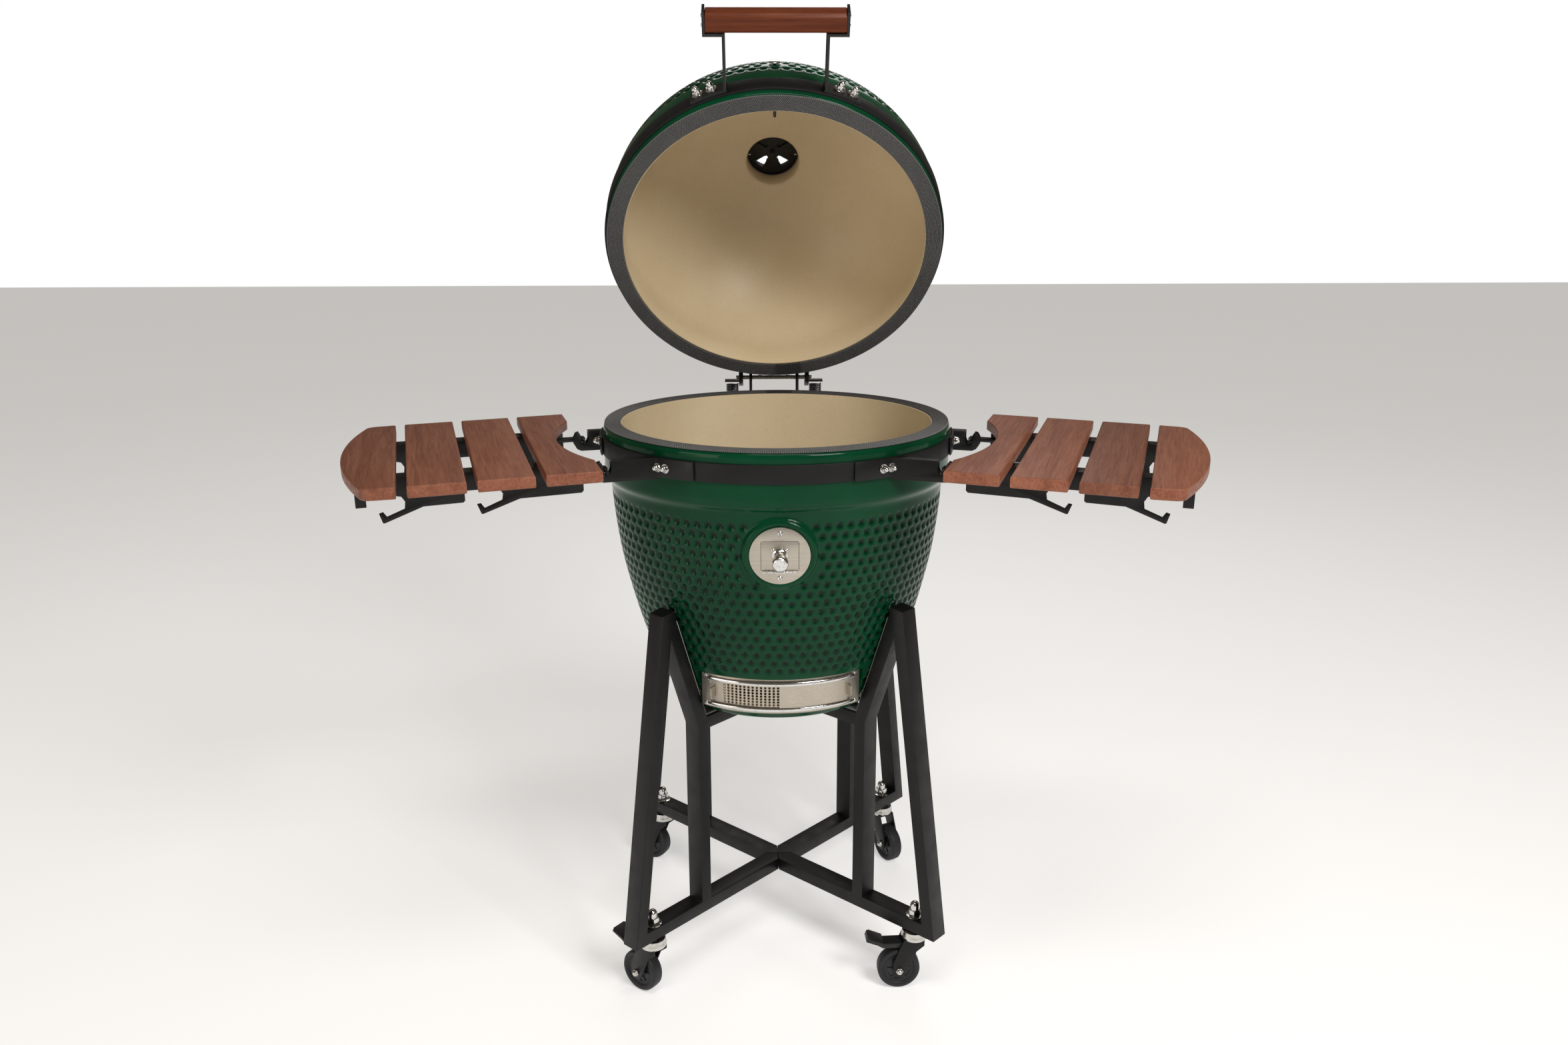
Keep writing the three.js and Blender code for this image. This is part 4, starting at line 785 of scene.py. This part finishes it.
for a in (-13.2, -5, 5, 13.2):
    d = Vector((math.sin(rad(a)), math.cos(rad(a)), 0)); nuts.append(xf(acorn(9, 9, False), toward(d), (271 * d.x, 271 * d.y, 896)))
obj("hinge_nuts_lid", *merge(*nuts), "chrome", "lid", LID, smooth=40)

# ------------------------------------------------------------------- handle
for s, nm in ((1, "right"), (-1, "left")):
    detail(f"handle_strap_{nm}", "strap", None)
    nuts = []
    for a in (19.9, 24.4):
        d = Vector((s * math.sin(rad(a)), -math.cos(rad(a)), 0)); nuts.append(xf(acorn(14, 10.5), toward(d), (271.8 * d.x, 271.8 * d.y, 896)))
    obj(f"handle_nuts_{nm}", *merge(*nuts), "chrome", "lid", LID, smooth=40)
    es = [xf(screw(2.6, 1.6), RY(90 * s), (s * 102.1, y, 896)) for y in (-352, -366)]
    obj(f"handle_screws_{nm}", *merge(*es), "chrome", "lid", LID, smooth=40)
gp = [(-345.4, 886.5), (-349, 882), (-369, 882), (-373.6, 887), (-373.6, 905), (-369, 910), (-349, 910), (-345.4, 905.5)]
V, F = prism([(y, z) for y, z in gp], -97.8, 97.8)
V = np.stack([V[:, 2], V[:, 0], V[:, 1]], -1)
V = np.stack([V[:, 0], V[:, 1] + 359.5, V[:, 2] - 896], -1)
# the grip's own frame turns its length onto local Y, so that the grain runs along it
Vg = np.stack([V[:, 1], V[:, 0], V[:, 2]], -1)
grip_m = LID @ T(0, -359.5, 896) @ Matrix(((0, 1, 0, 0), (1, 0, 0, 0), (0, 0, 1, 0), (0, 0, 0, 1)))
grip_m = LID @ T(0, -359.5, 896) @ RZ(90)
Vg = np.array([(v[1], -v[0], v[2]) for v in V])
obj("handle_grip_wood", Vg, F, "woodg", "lid", grip_m, smooth=35, bevel=1.4, segs=3, replaces=("handle_grip",))

# ------------------------------------------------------- thermometer and vent
cap_ = [(0, 1.2), (8.4, 1.2), (9, 1.7), (9, 2.8), (8.3, 3.6), (7, 4.2), (4.6, 4.5), (0, 4.6)]
obj("probe_cap", *xf(revolve(cap_, 48, close=False), RX(90)), "chrome", "lid", GAUGE, smooth=35, replaces=("temperature_probe",))
stem = [(0, -78), (1.4, -77.6), (2.2, -76.4), (2.4, -74.6), (2.4, 1.2), (0, 1.2)]
obj("probe_stem", *xf(revolve(stem, 24, close=False), RX(90)), "iron", "lid", GAUGE, smooth=40)

# vent: chimney ring, cone with two open wedges, and turning cap
ring = [(42.1, 1148), (42.5, 1146.3), (43.4, 1146), (43.8, 1147.6), (43.8, 1172.3), (56, 1172.3), (57, 1172.9), (57, 1175.2), (56.2, 1176), (43, 1176), (42.1, 1175.2)]
obj("vent_chimney", *revolve(ring, 96), "iron", "lid", LID, smooth=40, replaces=("vent_base",))
def wedge_cone(r0, r1, zc, th, wedges, z_edge, n=144, rings=14, hole=(13, 35.5)):
    """shallow cone, its middle higher than its rim, with wedge openings given as (centre, half width) degrees"""
    rs = sorted(set([r0] + list(np.linspace(r0, r1, rings)) + list(hole))); V, F = [], []
    ok = lambda rm, am: not (hole[0] < rm < hole[1] and any(abs((am - c + 180) % 360 - 180) < w - 3.0 * (1 - (rm - hole[0]) / (hole[1] - hole[0])) for c, w in wedges))
    zf = lambda r: z_edge + (zc - z_edge) * (1 - (r / r1))
    for lay in (0, 1):
        for r in rs:
            for i in range(n): a = 2 * math.pi * i / n; V.append((r * math.cos(a), r * math.sin(a), zf(r) + (th if lay else 0)))
    m = len(rs); keep = {}
    for k in range(m - 1):
        for i in range(n):
            if ok((rs[k] + rs[k + 1]) / 2, 360 * (i + 0.5) / n): keep[(k, i)] = 1
    for (k, i) in keep:
        j = (i + 1) % n
        F.append([k * n + i, (k + 1) * n + i, (k + 1) * n + j, k * n + j]); o = m * n
        F.append([o + k * n + i, o + k * n + j, o + (k + 1) * n + j, o + (k + 1) * n + i])
        if (k - 1, i) not in keep: F.append([k * n + i, k * n + j, o + k * n + j, o + k * n + i])
        if (k + 1, i) not in keep: F.append([(k + 1) * n + i, o + (k + 1) * n + i, o + (k + 1) * n + j, (k + 1) * n + j])
        if (k, (i - 1) % n) not in keep: F.append([k * n + i, o + k * n + i, o + (k + 1) * n + i, (k + 1) * n + i])
        if (k, j) not in keep: F.append([k * n + j, (k + 1) * n + j, o + (k + 1) * n + j, o + k * n + j])
    return np.array(V), F
WED = [(47, 16), (133, 16), (227, 16), (313, 16)]
obj("vent_cone", *wedge_cone(3.5, 42.2, 1150.2, 1.5, WED, 1151.6), "iron", "lid", LID, smooth=40)
cap = [xf(revolve([(0, 1146.5), (3.9, 1146.5), (3.9, 1160.6), (6.6, 1161), (8.2, 1162.8), (9, 1165), (9, 1171), (8.4, 1173.2), (6.6, 1174.8), (4, 1175), (0, 1175)], 64, close=False))]
obj("vent_cap", *merge(*cap, wedge_cone(3.5, 38, 1153.6, 1.5, WED[:2], 1154.8)), "iron", "vent_disc", LID, smooth=40, replaces=("vent_disc",))
obj("vent_bolt", *xf(acorn(8, 6), RX(180), (0, 0, 1150.4)), "iron", "lid", LID, smooth=40)
tabs = [xf(prism([(-2.5, -1.2), (2.5, -1.2), (2.5, 1.2), (-2.5, 1.2)], 0, 5), RY(90 * s), (s * 37.5, 3, 1148.5)) for s in (1, -1)]
obj("vent_tabs", *merge(*tabs), "pin", "lid", LID, smooth=40, bevel=0.3)

# ---------------------------------------------------------------- fire parts
detail("fire_bowl", "clay", 1.5, 2); detail("fire_ring", "clay", 1.0, 2); detail("charcoal_grate", "iron", 0.8, 2)
pts = [xf(tube([(r * math.cos(a), r * math.sin(a), 706) for a in np.linspace(0, 2 * math.pi, 120, endpoint=False)], 3.4, 12, closed=True)) for r in (200,)]
for i in range(-9, 10):
    y = i * 20.5; w = math.sqrt(200 ** 2 - y * y); pts.append(tube([(x, y, 706) for x in np.linspace(-w, w, 9)], 2.2, 10))
pts.append(tube([(0, y, 705) for y in np.linspace(-199, 199, 9)], 2.3, 10))
obj("cooking_grate_wire", *merge(*pts), "steel", "cooking_grate", BASE, smooth=50, replaces=("cooking_grate",))

# --------------------------------------------------------------- the setting
me = bpy.data.meshes.new("floor"); me.from_pydata([(-14, -14, 0), (14, -14, 0), (14, 14, 0), (-14, 14, 0)], [], [(0, 1, 2, 3)])
floor = bpy.data.objects.new("floor", me); bpy.context.scene.collection.objects.link(floor)
fm_, nt, b = mk("pale_floor"); b.inputs["Base Color"].default_value = (0.88, 0.88, 0.88, 1); b.inputs["Roughness"].default_value = 0.7
b.inputs["Emission Color"].default_value = (1, 1, 1, 1); b.inputs["Emission Strength"].default_value = 0.42
nt.links.new(maprange(nt, noise(nt, coords(nt), 3, 3), 0, 1, 0.68, 0.78), b.inputs["Roughness"])
me.materials.append(fm_)
w = bpy.data.worlds.new("studio"); bpy.context.scene.world = w; w.use_nodes = True
bg = w.node_tree.nodes["Background"]; bg.inputs[0].default_value = (1.0, 0.87, 0.68, 1); bg.inputs[1].default_value = 0.14
wn = w.node_tree; white = wn.nodes.new("ShaderNodeBackground"); white.inputs[0].default_value = (1, 1, 1, 1); white.inputs[1].default_value = 1.0
lp = wn.nodes.new("ShaderNodeLightPath"); mx = wn.nodes.new("ShaderNodeMixShader")
wn.links.new(lp.outputs["Is Camera Ray"], mx.inputs[0]); wn.links.new(bg.outputs[0], mx.inputs[1]); wn.links.new(white.outputs[0], mx.inputs[2])
wn.links.new(mx.outputs[0], wn.nodes["World Output"].inputs[0])
def area(name, loc, target, size, power, col=(1, 1, 1)):
    l = bpy.data.lights.new(name, "AREA"); l.shape = "RECTANGLE"; l.size, l.size_y = size; l.energy = power; l.color = col
    o = bpy.data.objects.new(name, l); bpy.context.scene.collection.objects.link(o); o.location = loc
    o.rotation_euler = (Vector(target) - Vector(loc)).to_track_quat("-Z", "Y").to_euler()
    return o
area("key", (1.7, -2.6, 2.9), (0, 0, 0.8), (1.2, 1.2), 78, (1.0, 0.985, 0.96))
area("fill", (-2.6, -2.2, 1.2), (0, 0.1, 0.9), (1.6, 1.6), 22, (1.0, 0.93, 0.84))
area("back", (0.3, 2.8, 2.9), (0, 0, 0.9), (2.0, 1.0), 14)
area("top", (0.1, -1.3, 3.3), (0, 0.1, 1.35), (1.5, 0.5), 20, (1.0, 0.98, 0.95))

cam = bpy.data.cameras.new("camera"); co = bpy.data.objects.new("camera", cam); bpy.context.scene.collection.objects.link(co)
cam.sensor_width = 36; cam.lens = 36 * 1886.5 / 2352; cam.clip_end = 60; cam.dof.use_dof = False
y_, p_, ro = rad(1.233), rad(15.061), rad(-0.098)
fwd = Vector((math.sin(y_) * math.cos(p_), math.cos(y_) * math.cos(p_), -math.sin(p_))); right = Vector((math.cos(y_), -math.sin(y_), 0)); up = right.cross(fwd)
r2 = math.cos(ro) * right + math.sin(ro) * up; u2 = -math.sin(ro) * right + math.cos(ro) * up
co.matrix_world = Matrix(((r2.x, u2.x, -fwd.x, -0.0299), (r2.y, u2.y, -fwd.y, -1.8943), (r2.z, u2.z, -fwd.z, 1.2121), (0, 0, 0, 1)))
bpy.context.scene.camera = co
bpy.context.scene.view_settings.view_transform = "Standard"
